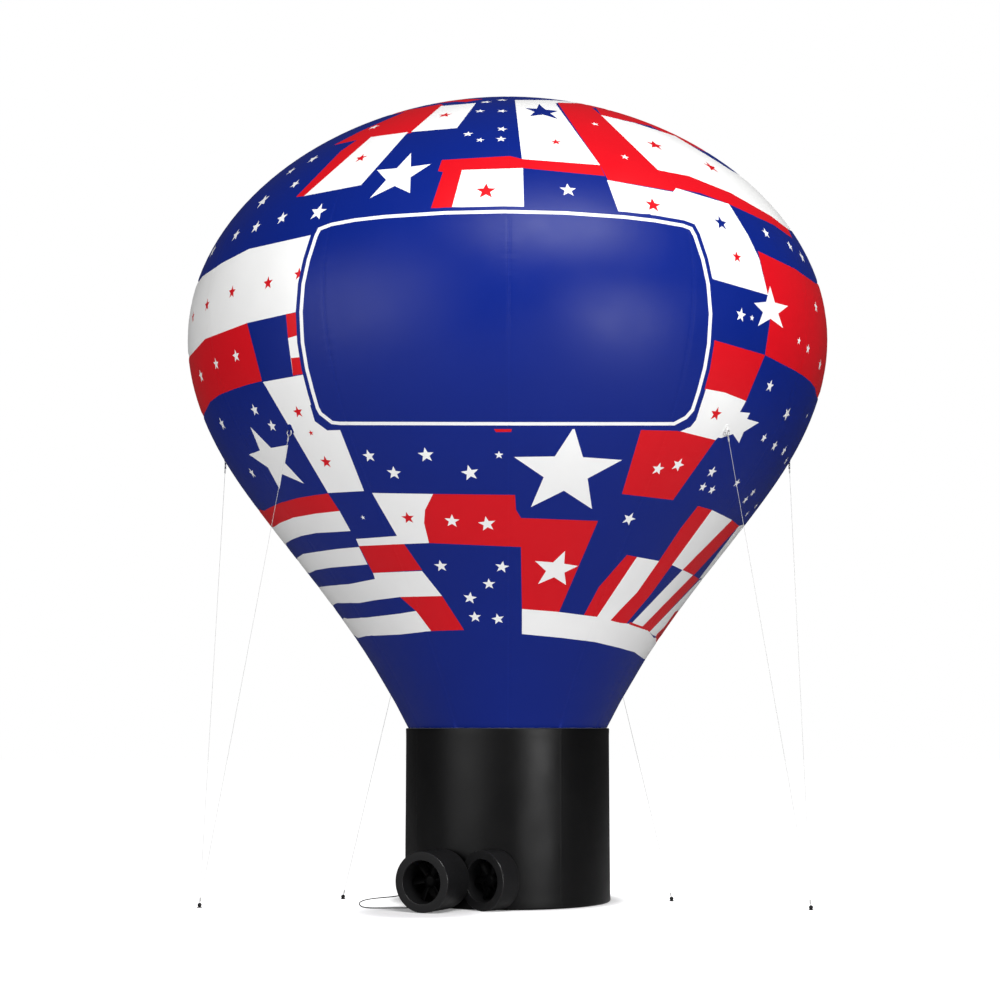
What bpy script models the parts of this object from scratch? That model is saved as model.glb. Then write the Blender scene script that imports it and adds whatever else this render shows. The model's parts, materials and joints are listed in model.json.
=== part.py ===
# Ground-standing cold-air inflatable in the shape of a hot air balloon, full size, in metres.
# X is to the right and -Y to the front. The origin is on the ground, at the middle of the base.
# An azimuth is measured in degrees from the front, -Y, positive towards the right, +X.
import math

import bmesh
import bpy
from mathutils import Matrix, Vector

# Fabric and seams
FABRIC = 0.010
SEAM_GAP = 0.0003
FACETS = 60
FACET_ANGLE = 360.0 / FACETS
GORE_LIFT = 0.0004
CROWN_LIFT = 0.0009

# Base drum
BASE_RADIUS = 0.782
BASE_HEIGHT = 1.300
BASE_FOOT_ROUND = 0.015
BASE_SHOULDER = 0.018
BASE_HEM_RADIUS = 0.700
WALL_PANELS = (  # name, azimuth of its middle
    ("base_wall_front", -15.0),
    ("base_wall_right", 75.0),
    ("base_wall_back", 165.0),
    ("base_wall_left", 255.0),
)
WALL_PANEL_ANGLE = 90.0

# Envelope outline: smooth bends through four places, each with its lean from the vertical
# and how far its tangent reaches below and above it
OUTLINE = (  # radius, height, lean, reach below, reach above, rows to the next place
    (0.7635, BASE_HEIGHT, 26.8, 0.0, 0.875, 6),
    (2.023, 3.094, 36.1, 0.630, 0.261, 5),
    (2.4925, 4.280, 0.0, 0.524, 1.058, 9),
    (0.0, 6.165, -90.0, 1.227, 0.0, 0),
)
SKIRT_ROWS = 2
CROWN_ROWS = 2
GORES = 12
GORE_ANGLE = 360.0 / GORES

# Tethers: rings on the envelope, lines and ground anchors
RING_ROW = 7
RING_RISE = 0.020
TETHERS = (  # name, azimuth, sideways shift, whether it is on a seam, anchor
    ("front_left", -45.0, 0.056, False, "front_left"),
    ("front_right", 45.0, -0.056, False, "front_right"),
    ("side_left", -90.0, 0.0, True, "front_left"),
    ("side_right", 90.0, 0.0, True, "front_right"),
    ("rear_left", -165.0, 0.049, False, "rear_left"),
    ("rear_right", 165.0, -0.049, False, "rear_right"),
)
ANCHORS = (  # name, x, y
    ("front_left", -2.250, -0.580),
    ("front_right", 2.180, -0.760),
    ("rear_left", -1.260, 0.080),
    ("rear_right", 1.240, -0.090),
)
PATCH_SEAT = 0.0009
PATCH_SIZE = (0.050, 0.004, 0.070)
TAB_SIZE = (0.032, 0.013, 0.016)
TAB_OVERLAP = 0.001
RING_RADIUS = 0.022
RING_WIRE = 0.0035
LINE_DIAMETER = 0.003
ANCHOR_BALL = 0.0155
ANCHOR_BALL_HEIGHT = 0.020
ANCHOR_FLANGE = 0.019
ANCHOR_FLANGE_HEIGHT = 0.006
ANCHOR_EDGE = 0.002
ANCHOR_STEP = 32.0

# Blowers: each is a cup that lies on the ground, its mouth towards the front left
BLOWERS = (  # name, mouth's x and y, azimuth of its axis, length, length of its air sleeve and of its motor
    ("left", -0.616, -0.979, -27.0, 0.328, 0.110, 0.147),
    ("middle", -0.191, -0.863, -43.0, 0.175, 0.090, 0.038),
)
BLOWER_SIDES = 36
BLOWER_RADIUS = 0.2145
BLOWER_AXIS_HEIGHT = BLOWER_RADIUS + SEAM_GAP
BORE_RADIUS = 0.154
MOUTH_ROUND = 0.012
MOUTH_ROUND_MIDDLE = 0.0036
BACK_WALL = 0.012
OUTLET_RADIUS = 0.100
SLEEVE_RADIUS = 0.115
PORT_CLEARANCE = 0.0005
PORT_REACH = 0.050
MOTOR_RADIUS = 0.050
MOTOR_ROUND = 0.006
SHAFT_RADIUS = 0.006
SHAFT_LENGTH = 0.024
VANES = 4
VANE_THICKNESS = 0.006
VANE_DEPTH = 0.0266
VANE_HEIGHT = 0.0152
VANE_ROOT = 0.040
FAN_GAP = 0.006
HUB_RADIUS = 0.052
HUB_HEIGHT = 0.045
HUB_DOME = 0.025
HUB_BORE = 0.0066
BLADES = 6
BLADE_ROOT = 0.042
BLADE_TIP = 0.146
BLADE_HEIGHT = 0.020
BLADE_CHORD = 0.056
BLADE_THICKNESS = 0.004
BLADE_PITCH = 35.0

# Power lead: it leaves a gland on the left blower and is coiled behind the base
LEAD_RADIUS = 0.004
LEAD_FLOOR = 0.0042
LEAD_STEP = 0.032
GLAND_DEPTH = 0.248
GLAND_ANGLE = 225.0
GLAND_LENGTH = 0.026
GLAND_RADIUS = 0.011
GLAND_NECK = 0.0088
GLAND_TIP = 0.006
GLAND_RIM = 0.006
GLAND_STEP = 0.008
LEAD_BEND = (-0.0116, 0.0049, -0.0075)
LEAD_LANDING = (-0.720, -0.648, 0.0077)
LEAD_ROUTE = (  # x, y, on the ground from the foot of the drop to the coil
    (-0.780, -0.634),
    (-0.850, -0.634),
    (-0.930, -0.645),
    (-1.005, -0.635),
    (-1.058, -0.570),
    (-1.087, -0.455),
    (-1.104, -0.320),
    (-1.107, -0.190),
    (-1.090, -0.060),
    (-1.048, 0.050),
    (-0.980, 0.145),
    (-0.905, 0.222),
    (-0.853, 0.310),
    (-0.815, 0.420),
    (-0.765, 0.530),
    (-0.694, 0.635),
    (-0.610, 0.720),
)
COIL_CENTRE = (-0.500, 0.900)
COIL_INNER = 0.0315
COIL_OUTER = 0.0645
COIL_HEIGHT = 0.0172
COIL_ENTRY_ANGLE = 315.0
COIL_EXIT_ANGLE = 100.0
COIL_LEAD_IN = 0.050
TAIL_LENGTH = 0.060
PLUG_RADIUS = 0.016
PLUG_LENGTH = 0.040
PLUG_EDGE = 0.002
PLUG_TAPER = 0.008
BOOT_LENGTH = 0.022
BOOT_RADIUS = 0.0055
BOOT_END_RADIUS = 0.0085
PIN_RADIUS = 0.0024
PIN_LENGTH = 0.019
PIN_ROOT = 0.004
PIN_SPACING = 0.019

# Colours, linear
BLUE = (0.020, 0.035, 0.300, 1.0)
BLACK = (0.012, 0.012, 0.014, 1.0)
DARK_GREY = (0.030, 0.030, 0.032, 1.0)
METAL = (0.550, 0.550, 0.560, 1.0)
WHITE = (0.800, 0.800, 0.780, 1.0)


def clear_scene():
    for thing in list(bpy.data.objects):
        bpy.data.objects.remove(thing, do_unlink=True)


def new_collection(name):
    group = bpy.data.collections.new(name)
    bpy.context.scene.collection.children.link(group)
    return group


def new_material(name, colour, roughness, metallic=0.0):
    material = bpy.data.materials.new(name)
    material.use_nodes = True
    shader = material.node_tree.nodes["Principled BSDF"]
    shader.inputs["Base Color"].default_value = colour
    shader.inputs["Roughness"].default_value = roughness
    shader.inputs["Metallic"].default_value = metallic
    material.diffuse_color = colour
    return material


def radial(azimuth):
    angle = math.radians(azimuth)
    return Vector((math.sin(angle), -math.cos(angle), 0.0))


def add_object(name, mesh, material, group):
    piece = bpy.data.objects.new(name, mesh)
    if material:
        mesh.materials.clear()
        mesh.materials.append(material)
    group.objects.link(piece)
    return piece


def smooth(mesh, angle=40.0):
    mesh.shade_smooth()
    mesh.set_sharp_from_angle(angle=math.radians(angle))


# Take the active primitive out of the scene's collection and give it its place
def adopt(name, material, group):
    piece = bpy.context.object
    piece.name = name
    for old in list(piece.users_collection):
        old.objects.unlink(piece)
    group.objects.link(piece)
    if material:
        piece.data.materials.append(material)
    return piece


def as_cutter(piece):
    piece.hide_render = True
    piece.display_type = "WIRE"
    return piece


# Box primitive of a full size, its scale applied
def box(name, size, matrix, material, group):
    bpy.ops.mesh.primitive_cube_add(size=1.0)
    piece = adopt(name, material, group)
    piece.data.transform(Matrix.Diagonal((*size, 1.0)))
    piece.matrix_world = matrix
    return piece


# Turned shape about Z: profile points are (radius, height), down the outer side
def turned(name, profile, steps, material, group, closed=False):
    mesh = bpy.data.meshes.new(name)
    count = len(profile)
    edges = [(i, i + 1) for i in range(count - 1)]
    if closed:
        edges.append((count - 1, 0))
    mesh.from_pydata([(radius, 0.0, height) for radius, height in profile], edges, [])
    piece = add_object(name, mesh, material, group)
    screw = piece.modifiers.new("turn", "SCREW")
    screw.steps = steps
    screw.render_steps = steps
    screw.use_merge_vertices = True
    screw.merge_threshold = 0.00005
    screw.use_smooth_shade = True
    return piece


# Panel of a turned shell: its section, a closed outline, is swept through an angle about Z
def swept_panel(name, section, middle, angle, material, group):
    out = radial(middle - angle / 2)
    bm = bmesh.new()
    corners = [bm.verts.new(out * radius + Vector((0.0, 0.0, height))) for radius, height in section]
    bm.faces.new(corners)
    bmesh.ops.spin(
        bm,
        geom=bm.verts[:] + bm.edges[:] + bm.faces[:],
        cent=(0.0, 0.0, 0.0),
        axis=(0.0, 0.0, 1.0),
        angle=math.radians(angle),
        steps=round(angle / FACET_ANGLE),
        use_duplicate=False,
    )
    bmesh.ops.recalc_face_normals(bm, faces=bm.faces[:])
    mesh = bpy.data.meshes.new(name)
    bm.to_mesh(mesh)
    bm.free()
    smooth(mesh)
    piece = add_object(name, mesh, material, group)
    piece.location = radial(middle) * (SEAM_GAP / 2 / math.sin(math.radians(angle / 2)))
    return piece


def boolean(piece, tool, operation):
    cut = piece.modifiers.new(operation.lower(), "BOOLEAN")
    cut.operation = operation
    cut.solver = "EXACT"
    cut.object = tool


# Round wire along points, with filled caps
def wire(name, points, radius, material, group):
    curve = bpy.data.curves.new(name, "CURVE")
    curve.dimensions = "3D"
    curve.bevel_depth = radius
    curve.bevel_resolution = 2
    curve.use_fill_caps = True
    line = curve.splines.new("POLY")
    line.points.add(len(points) - 1)
    for slot, point in zip(line.points, points):
        slot.co = (*point, 1.0)
    curve.materials.append(material)
    piece = bpy.data.objects.new(name, curve)
    group.objects.link(piece)
    return piece


# Envelope outline as (radius, height) from the neck up, one bend between each two places
def envelope_outline():
    points = []
    for lower, upper in zip(OUTLINE, OUTLINE[1:]):
        ends = []
        for radius, height, lean, *reaches in (lower, upper):
            tangent = Vector((math.sin(math.radians(lean)), math.cos(math.radians(lean))))
            ends.append((Vector((radius, height)), tangent, *reaches))
        start, tangent, _, above, rows = ends[0]
        end, end_tangent, reach = ends[1][:3]
        handles = (start, start + tangent * above, end - end_tangent * reach, end)
        for row in range(rows):
            t = row / rows
            weights = ((1 - t) ** 3, 3 * (1 - t) ** 2 * t, 3 * (1 - t) * t**2, t**3)
            spot = sum((h * w for h, w in zip(handles, weights)), Vector((0.0, 0.0)))
            points.append((spot.x, spot.y))
    points.append(OUTLINE[-1][:2])
    return points


# The same outline moved in by the fabric's thickness, flat at the neck and at the top
def inner_outline(outline):
    inner = []
    last = len(outline) - 1
    for i, (radius, height) in enumerate(outline):
        below = outline[max(i - 1, 0)]
        above = outline[min(i + 1, last)]
        along = Vector((above[0] - below[0], above[1] - below[1])).normalized()
        if i == 0:
            inner.append((radius - FABRIC / along.y, height))
        elif i == last:
            inner.append((0.0, height - FABRIC))
        else:
            inner.append((radius - FABRIC * along.y, height + FABRIC * along.x))
    return inner


def shell_section(outline, inner, first, last, lift):
    outer_side = [(r, z + lift) for r, z in outline[first : last + 1]]
    inner_side = [(r, z + lift) for r, z in inner[first : last + 1]]
    return list(reversed(outer_side)) + inner_side


def build_envelope(group, blue):
    outline = envelope_outline()
    inner = inner_outline(outline)
    crown_start = len(outline) - 1 - CROWN_ROWS
    skirt = shell_section(outline, inner, 0, SKIRT_ROWS, 0.0)
    turned("envelope_skirt", skirt, FACETS, blue, group, closed=True)
    gore = shell_section(outline, inner, SKIRT_ROWS, crown_start, GORE_LIFT)
    for number in range(GORES):
        name = f"envelope_gore_{number + 1:02d}"
        swept_panel(name, gore, (number + 0.5) * GORE_ANGLE, GORE_ANGLE, blue, group)
    crown = shell_section(outline, inner, crown_start, len(outline) - 1, CROWN_LIFT)
    turned("envelope_crown", crown, FACETS, blue, group)
    return outline


def base_section():
    foot = BASE_FOOT_ROUND
    slope = math.sqrt(0.5)
    outer = [
        (BASE_RADIUS - BASE_SHOULDER, BASE_HEIGHT - SEAM_GAP),
        (BASE_RADIUS - BASE_SHOULDER * (1 - slope), BASE_HEIGHT - BASE_SHOULDER * (1 - slope)),
        (BASE_RADIUS, BASE_HEIGHT - BASE_SHOULDER),
        (BASE_RADIUS, foot),
        (BASE_RADIUS - foot * (1 - slope), foot * (1 - slope)),
        (BASE_RADIUS - foot, 0.0),
        (BASE_HEM_RADIUS, 0.0),
    ]
    inner_foot = foot - FABRIC
    inner = [
        (BASE_HEM_RADIUS, FABRIC),
        (BASE_RADIUS - foot, FABRIC),
        (BASE_RADIUS - foot + inner_foot * slope, foot - inner_foot * slope),
        (BASE_RADIUS - FABRIC, foot),
        (BASE_RADIUS - FABRIC, BASE_HEIGHT - BASE_SHOULDER),
        (BASE_RADIUS - BASE_SHOULDER - FABRIC, BASE_HEIGHT - SEAM_GAP),
    ]
    return outer + inner


# Matrix that carries +Z to a blower's axis, at its mouth
def blower_matrix(x, y, azimuth):
    place = Matrix.Translation((x, y, BLOWER_AXIS_HEIGHT))
    return place @ Matrix.Rotation(math.radians(azimuth), 4, "Z") @ Matrix.Rotation(math.pi / 2, 4, "X")


def port_cutter(name, radius, depth, matrix, cutters):
    profile = ((0.0, PORT_REACH), (radius, PORT_REACH), (radius, -depth), (0.0, -depth))
    cutter = turned(name, profile, BLOWER_SIDES, None, cutters)
    cutter.matrix_world = matrix
    return as_cutter(cutter)


def build_base(group, cutters, black):
    panels = {}
    for name, azimuth in WALL_PANELS:
        panels[name] = swept_panel(name, base_section(), azimuth, WALL_PANEL_ANGLE, black, group)
    floor_radius = BASE_HEM_RADIUS - 2 * SEAM_GAP
    floor = ((0.0, FABRIC), (floor_radius, FABRIC), (floor_radius, 0.0), (0.0, 0.0))
    turned("base_floor", floor, FACETS, black, group)
    for name, x, y, azimuth, length, sleeve, motor in BLOWERS:
        matrix = blower_matrix(x, y, azimuth)
        tools = (
            port_cutter(f"housing_cutter_{name}", BLOWER_RADIUS + PORT_CLEARANCE,
                        length + SEAM_GAP, matrix, cutters),
            port_cutter(f"sleeve_cutter_{name}", SLEEVE_RADIUS + PORT_CLEARANCE,
                        length + 2 * sleeve, matrix, cutters),
        )
        for tool in tools:
            boolean(panels["base_wall_front"], tool, "DIFFERENCE")


def housing_profile(length):
    return (
        (BLOWER_RADIUS - MOUTH_ROUND, 0.0),
        (BLOWER_RADIUS - MOUTH_ROUND_MIDDLE, -MOUTH_ROUND_MIDDLE),
        (BLOWER_RADIUS, -MOUTH_ROUND),
        (BLOWER_RADIUS, MOUTH_ROUND - length),
        (BLOWER_RADIUS - MOUTH_ROUND, -length),
        (OUTLET_RADIUS, -length),
        (OUTLET_RADIUS, BACK_WALL - length),
        (BORE_RADIUS, BACK_WALL - length),
        (BORE_RADIUS, -MOUTH_ROUND / 2),
        (BORE_RADIUS + MOUTH_ROUND / 2, 0.0),
    )


def build_stator(name, back, length, matrix, metal, group, cutters):
    top = back + length
    profile = (
        (0.0, top + SHAFT_LENGTH),
        (SHAFT_RADIUS, top + SHAFT_LENGTH),
        (SHAFT_RADIUS, top),
        (MOTOR_RADIUS - MOTOR_ROUND, top),
        (MOTOR_RADIUS, top - MOTOR_ROUND),
        (MOTOR_RADIUS, back),
        (0.0, back),
    )
    stator = turned(f"blower_motor_{name}", profile, 24, metal, group)
    stator.matrix_world = matrix
    flat = BORE_RADIUS * math.cos(math.pi / BLOWER_SIDES) - SEAM_GAP
    half = 360.0 / BLOWER_SIDES / 2
    for number in range(VANES):
        turn = Matrix.Rotation(math.radians(half + number * 360.0 / VANES), 4, "Z")
        middle = Matrix.Translation(((flat + VANE_ROOT) / 2, 0.0, back + VANE_HEIGHT))
        size = (flat - VANE_ROOT, VANE_THICKNESS, VANE_DEPTH)
        vane = box(f"vane_{name}_{number}", size, matrix @ turn @ middle, None, cutters)
        boolean(stator, as_cutter(vane), "UNION")


def build_fan(name, back, matrix, grey, group, cutters):
    shoulder = HUB_HEIGHT - HUB_DOME
    turns = [math.radians(angle) for angle in (30.0, 60.0)]
    profile = (
        (0.0, HUB_HEIGHT),
        *[(HUB_RADIUS * math.sin(turn), shoulder + HUB_DOME * math.cos(turn)) for turn in turns],
        (HUB_RADIUS, shoulder),
        (HUB_RADIUS, 0.0),
        (HUB_BORE, 0.0),
        (HUB_BORE, SHAFT_LENGTH),
        (0.0, SHAFT_LENGTH),
    )
    fan = turned(f"blower_fan_{name}", profile, 24, grey, group)
    fan.matrix_world = matrix @ Matrix.Translation((0.0, 0.0, back))
    for number in range(BLADES):
        turn = Matrix.Rotation(math.radians(number * 360.0 / BLADES), 4, "Z")
        middle = Matrix.Translation(((BLADE_TIP + BLADE_ROOT) / 2, 0.0, BLADE_HEIGHT))
        pitch = Matrix.Rotation(math.radians(BLADE_PITCH), 4, "X")
        size = (BLADE_TIP - BLADE_ROOT, BLADE_CHORD, BLADE_THICKNESS)
        place = fan.matrix_world @ turn @ middle @ pitch
        blade = box(f"blade_{name}_{number}", size, place, None, cutters)
        boolean(fan, as_cutter(blade), "UNION")


def build_blowers(group, cutters, black, grey, metal):
    for name, x, y, azimuth, length, sleeve, motor in BLOWERS:
        matrix = blower_matrix(x, y, azimuth)
        housing = turned(f"blower_housing_{name}", housing_profile(length), BLOWER_SIDES,
                         black, group, closed=True)
        housing.matrix_world = matrix
        inner = SLEEVE_RADIUS - FABRIC
        top = -length - SEAM_GAP
        tube = ((SLEEVE_RADIUS, top), (SLEEVE_RADIUS, top - sleeve), (inner, top - sleeve), (inner, top))
        air_sleeve = turned(f"air_sleeve_{name}", tube, BLOWER_SIDES, black, group, closed=True)
        air_sleeve.matrix_world = matrix
        motor_back = -length + BACK_WALL + SEAM_GAP
        build_stator(name, motor_back, motor, matrix, metal, group, cutters)
        fan_back = motor_back + motor + FAN_GAP
        build_fan(name, fan_back, matrix, grey, group, cutters)


def anchor_heads():
    return {name: Vector((x, y, ANCHOR_BALL_HEIGHT)) for name, x, y in ANCHORS}


def build_anchors(group, grey):
    profile = [(0.0, ANCHOR_BALL_HEIGHT + ANCHOR_BALL)]
    for step in range(1, 5):
        angle = math.radians(90.0 - step * ANCHOR_STEP)
        profile.append((ANCHOR_BALL * math.cos(angle), ANCHOR_BALL_HEIGHT + ANCHOR_BALL * math.sin(angle)))
    profile += [
        (ANCHOR_FLANGE - ANCHOR_EDGE, ANCHOR_FLANGE_HEIGHT),
        (ANCHOR_FLANGE, ANCHOR_FLANGE_HEIGHT - ANCHOR_EDGE),
        (ANCHOR_FLANGE, 0.0),
        (0.0, 0.0),
    ]
    for name, x, y in ANCHORS:
        anchor = turned(f"ground_anchor_{name}", profile, 14, grey, group)
        anchor.location = (x, y, 0.0)


# Frame on the envelope, flat on a facet or across a seam: X sideways, Y outwards, Z up the slope
def facet_frame(outline, azimuth, shift, on_seam):
    (r0, z0), (r1, z1) = outline[RING_ROW], outline[RING_ROW + 1]
    flat = 1.0 if on_seam else math.cos(math.radians(FACET_ANGLE / 2))
    out = radial(azimuth)
    low = out * (r0 * flat) + Vector((0.0, 0.0, z0))
    high = out * (r1 * flat) + Vector((0.0, 0.0, z1))
    up = (high - low).normalized()
    side = Vector((-out.y, out.x, 0.0))
    normal = side.cross(up).normalized()
    frame = Matrix((side, normal, up)).transposed().to_4x4()
    lift = Vector((0.0, 0.0, GORE_LIFT))
    frame.translation = (low + high) / 2 + side * shift + up * RING_RISE + lift
    return frame


def build_tethers(outline, group, cutters, blue, metal, white):
    heads = anchor_heads()
    for name, azimuth, shift, on_seam, anchor in TETHERS:
        frame = facet_frame(outline, azimuth, shift, on_seam)
        patch_place = frame @ Matrix.Translation((0.0, PATCH_SEAT + PATCH_SIZE[1] / 2, 0.0))
        patch = box(f"tether_ring_{name}", PATCH_SIZE, patch_place, blue, group)
        tab_out = PATCH_SEAT + PATCH_SIZE[1] + TAB_SIZE[1] / 2 - TAB_OVERLAP
        tab_place = frame @ Matrix.Translation((0.0, tab_out, 0.0))
        tab = box(f"tab_{name}", TAB_SIZE, tab_place, None, cutters)
        boolean(patch, as_cutter(tab), "UNION")
        hold = tab_place.translation
        along = (heads[anchor] - hold).normalized()
        sideways = frame.to_3x3().col[0]
        across = along.cross(sideways).normalized()
        flat = across.cross(along).normalized()
        ring_frame = Matrix((along, flat, across)).transposed().to_4x4()
        ring_frame.translation = hold + along * RING_RADIUS
        bpy.ops.mesh.primitive_torus_add(
            major_radius=RING_RADIUS, minor_radius=RING_WIRE, major_segments=18, minor_segments=6
        )
        ring = adopt(f"ring_{name}", None, cutters)
        ring.matrix_world = ring_frame
        boolean(patch, as_cutter(ring), "UNION")
        top = hold + along * (2 * RING_RADIUS + RING_WIRE + SEAM_GAP)
        foot = heads[anchor] - along * (ANCHOR_BALL + SEAM_GAP)
        wire(f"guy_line_{name}", (top, foot), LINE_DIAMETER / 2, white, group)


# Smooth curve through points, with points about a step apart
def smooth_route(points, step):
    ends = [points[0] * 2 - points[1]] + list(points) + [points[-1] * 2 - points[-2]]
    fine = []
    for a, b, c, d in zip(ends, ends[1:], ends[2:], ends[3:]):
        for k in range(20):
            t = k / 20
            spot = (
                b * 2
                + (c - a) * t
                + (a * 2 - b * 5 + c * 4 - d) * t**2
                + (b * 3 - a - c * 3 + d) * t**3
            ) * 0.5
            fine.append(spot)
    fine.append(points[-1])
    lengths = [0.0]
    for a, b in zip(fine, fine[1:]):
        lengths.append(lengths[-1] + (b - a).length)
    count = max(2, round(lengths[-1] / step))
    route = []
    at = 0
    for k in range(count + 1):
        want = lengths[-1] * k / count
        while at < len(fine) - 2 and lengths[at + 1] < want:
            at += 1
        span = lengths[at + 1] - lengths[at]
        route.append(fine[at].lerp(fine[at + 1], (want - lengths[at]) / span))
    return route


def coil_side(angle, radius, height):
    turn = math.radians(angle)
    x, y = COIL_CENTRE
    return Vector((x + radius * math.cos(turn), y + radius * math.sin(turn), height))


def coil_tangent(angle):
    turn = math.radians(angle + 90.0)
    return Vector((math.cos(turn), math.sin(turn), 0.0))


def build_lead(group, cutters, grey, black):
    x, y, azimuth = BLOWERS[0][1:4]
    matrix = blower_matrix(x, y, azimuth)
    flat = BLOWER_RADIUS * math.cos(math.pi / BLOWER_SIDES)
    around = Matrix.Rotation(math.radians(GLAND_ANGLE), 4, "Z")
    seat = Matrix.Translation((flat + SEAM_GAP, 0.0, -GLAND_DEPTH))
    gland_frame = matrix @ around @ seat @ Matrix.Rotation(math.pi / 2, 4, "Y")
    profile = (
        (0.0, GLAND_LENGTH),
        (GLAND_TIP, GLAND_LENGTH),
        (GLAND_NECK, GLAND_STEP),
        (GLAND_RADIUS, GLAND_RIM),
        (GLAND_RADIUS, 0.0),
        (0.0, 0.0),
    )
    gland = turned("lead_gland", profile, 16, black, group)
    gland.matrix_world = gland_frame

    out = gland_frame.to_3x3().col[2].normalized()
    start = gland_frame.translation + out * (GLAND_LENGTH + SEAM_GAP)
    straight = start + out * LEAD_RADIUS * 2
    drop = [straight, straight + Vector(LEAD_BEND), Vector(LEAD_LANDING)]
    ground = [Vector((px, py, LEAD_FLOOR)) for px, py in LEAD_ROUTE]
    beside = COIL_OUTER + LEAD_RADIUS + SEAM_GAP
    entry = coil_side(COIL_ENTRY_ANGLE, beside, LEAD_FLOOR)
    lead_in = entry - coil_tangent(COIL_ENTRY_ANGLE) * COIL_LEAD_IN
    points = drop + ground + [lead_in, entry]
    wire("power_lead", [start] + smooth_route(points, LEAD_STEP), LEAD_RADIUS, black, group)

    ring = (
        (COIL_OUTER, COIL_HEIGHT),
        (COIL_OUTER, 0.0),
        (COIL_INNER, 0.0),
        (COIL_INNER, COIL_HEIGHT),
    )
    coil = turned("power_lead_coil", ring, 32, black, group, closed=True)
    coil.location = (*COIL_CENTRE, 0.0)

    tail_height = COIL_HEIGHT - LEAD_RADIUS - SEAM_GAP
    tail_start = coil_side(COIL_EXIT_ANGLE, beside, tail_height)
    away = coil_tangent(COIL_EXIT_ANGLE)
    tail_end = tail_start + away * TAIL_LENGTH
    tail_end.z = PLUG_RADIUS + SEAM_GAP
    tail = [tail_start, tail_start.lerp(tail_end, 0.5), tail_end]
    tail[1].z = (tail_height + tail_end.z) / 2
    wire("power_lead_tail", tail, LEAD_RADIUS, black, group)
    build_plug(tail_end + away * SEAM_GAP, away, group, cutters, grey)


def build_plug(back, away, group, cutters, grey):
    up = Vector((0.0, 0.0, 1.0))
    side = away.cross(up).normalized()
    frame = Matrix((side, up, away)).transposed().to_4x4()
    frame.translation = back
    front = BOOT_LENGTH + PLUG_LENGTH
    profile = (
        (0.0, front),
        (PLUG_RADIUS - PLUG_EDGE, front),
        (PLUG_RADIUS, front - PLUG_EDGE),
        (PLUG_RADIUS, BOOT_LENGTH + PLUG_TAPER),
        (BOOT_END_RADIUS, BOOT_LENGTH),
        (BOOT_RADIUS, 0.0),
        (0.0, 0.0),
    )
    plug = turned("power_plug", profile, 20, grey, group)
    plug.matrix_world = frame
    for number, offset in enumerate((-PIN_SPACING / 2, PIN_SPACING / 2)):
        bpy.ops.mesh.primitive_cylinder_add(vertices=12, radius=PIN_RADIUS, depth=PIN_LENGTH + PIN_ROOT)
        pin = adopt(f"pin_{number}", None, cutters)
        pin.matrix_world = frame @ Matrix.Translation((offset, 0.0, front + (PIN_LENGTH - PIN_ROOT) / 2))
        boolean(plug, as_cutter(pin), "UNION")


def main():
    clear_scene()
    group = new_collection("balloon_inflatable")
    cutters = new_collection("cutters")
    blue = new_material("blue_fabric", BLUE, 0.45)
    black = new_material("black_fabric", BLACK, 0.45)
    grey = new_material("dark_plastic", DARK_GREY, 0.50)
    metal = new_material("bare_metal", METAL, 0.35, 1.0)
    white = new_material("pale_rope", WHITE, 0.80)
    outline = build_envelope(group, blue)
    build_base(group, cutters, black)
    build_blowers(group, cutters, black, grey, metal)
    build_anchors(group, grey)
    build_tethers(outline, group, cutters, blue, metal, white)
    build_lead(group, cutters, grey, black)


main()
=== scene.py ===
# Looks of a ground-standing cold-air inflatable in the shape of a hot air balloon, full size.
# Metres, X to the right, -Y to the front. Azimuths are in degrees from the front, positive to the right.
import json
import math

import bmesh
import bpy
import numpy as np
from mathutils import Matrix, Vector
from mathutils.geometry import delaunay_2d_cdt

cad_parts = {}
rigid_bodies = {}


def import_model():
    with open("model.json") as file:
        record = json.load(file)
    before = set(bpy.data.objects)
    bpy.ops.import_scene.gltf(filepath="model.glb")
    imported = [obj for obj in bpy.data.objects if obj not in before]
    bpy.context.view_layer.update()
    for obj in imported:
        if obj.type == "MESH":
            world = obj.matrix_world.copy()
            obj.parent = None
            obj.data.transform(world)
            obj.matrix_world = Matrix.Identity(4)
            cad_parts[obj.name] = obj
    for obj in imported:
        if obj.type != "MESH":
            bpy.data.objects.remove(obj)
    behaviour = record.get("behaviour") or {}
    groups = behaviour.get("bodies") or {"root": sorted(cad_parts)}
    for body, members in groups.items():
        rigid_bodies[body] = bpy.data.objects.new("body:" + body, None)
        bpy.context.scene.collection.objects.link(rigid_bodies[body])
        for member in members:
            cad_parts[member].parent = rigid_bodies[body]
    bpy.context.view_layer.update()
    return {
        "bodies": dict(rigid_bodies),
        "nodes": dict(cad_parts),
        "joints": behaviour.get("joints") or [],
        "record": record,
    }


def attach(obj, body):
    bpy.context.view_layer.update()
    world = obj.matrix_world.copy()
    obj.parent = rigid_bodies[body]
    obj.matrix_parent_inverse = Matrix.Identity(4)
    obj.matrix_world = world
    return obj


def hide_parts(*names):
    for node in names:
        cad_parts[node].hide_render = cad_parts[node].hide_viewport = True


# Photograph's frame and camera
FRAME_PIXELS = 1000
SENSOR = 0.036
LENS = 0.0648
CAMERA_PLACE = (-0.058, -13.980, 1.300)
CAMERA_PITCH = 7.22

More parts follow.
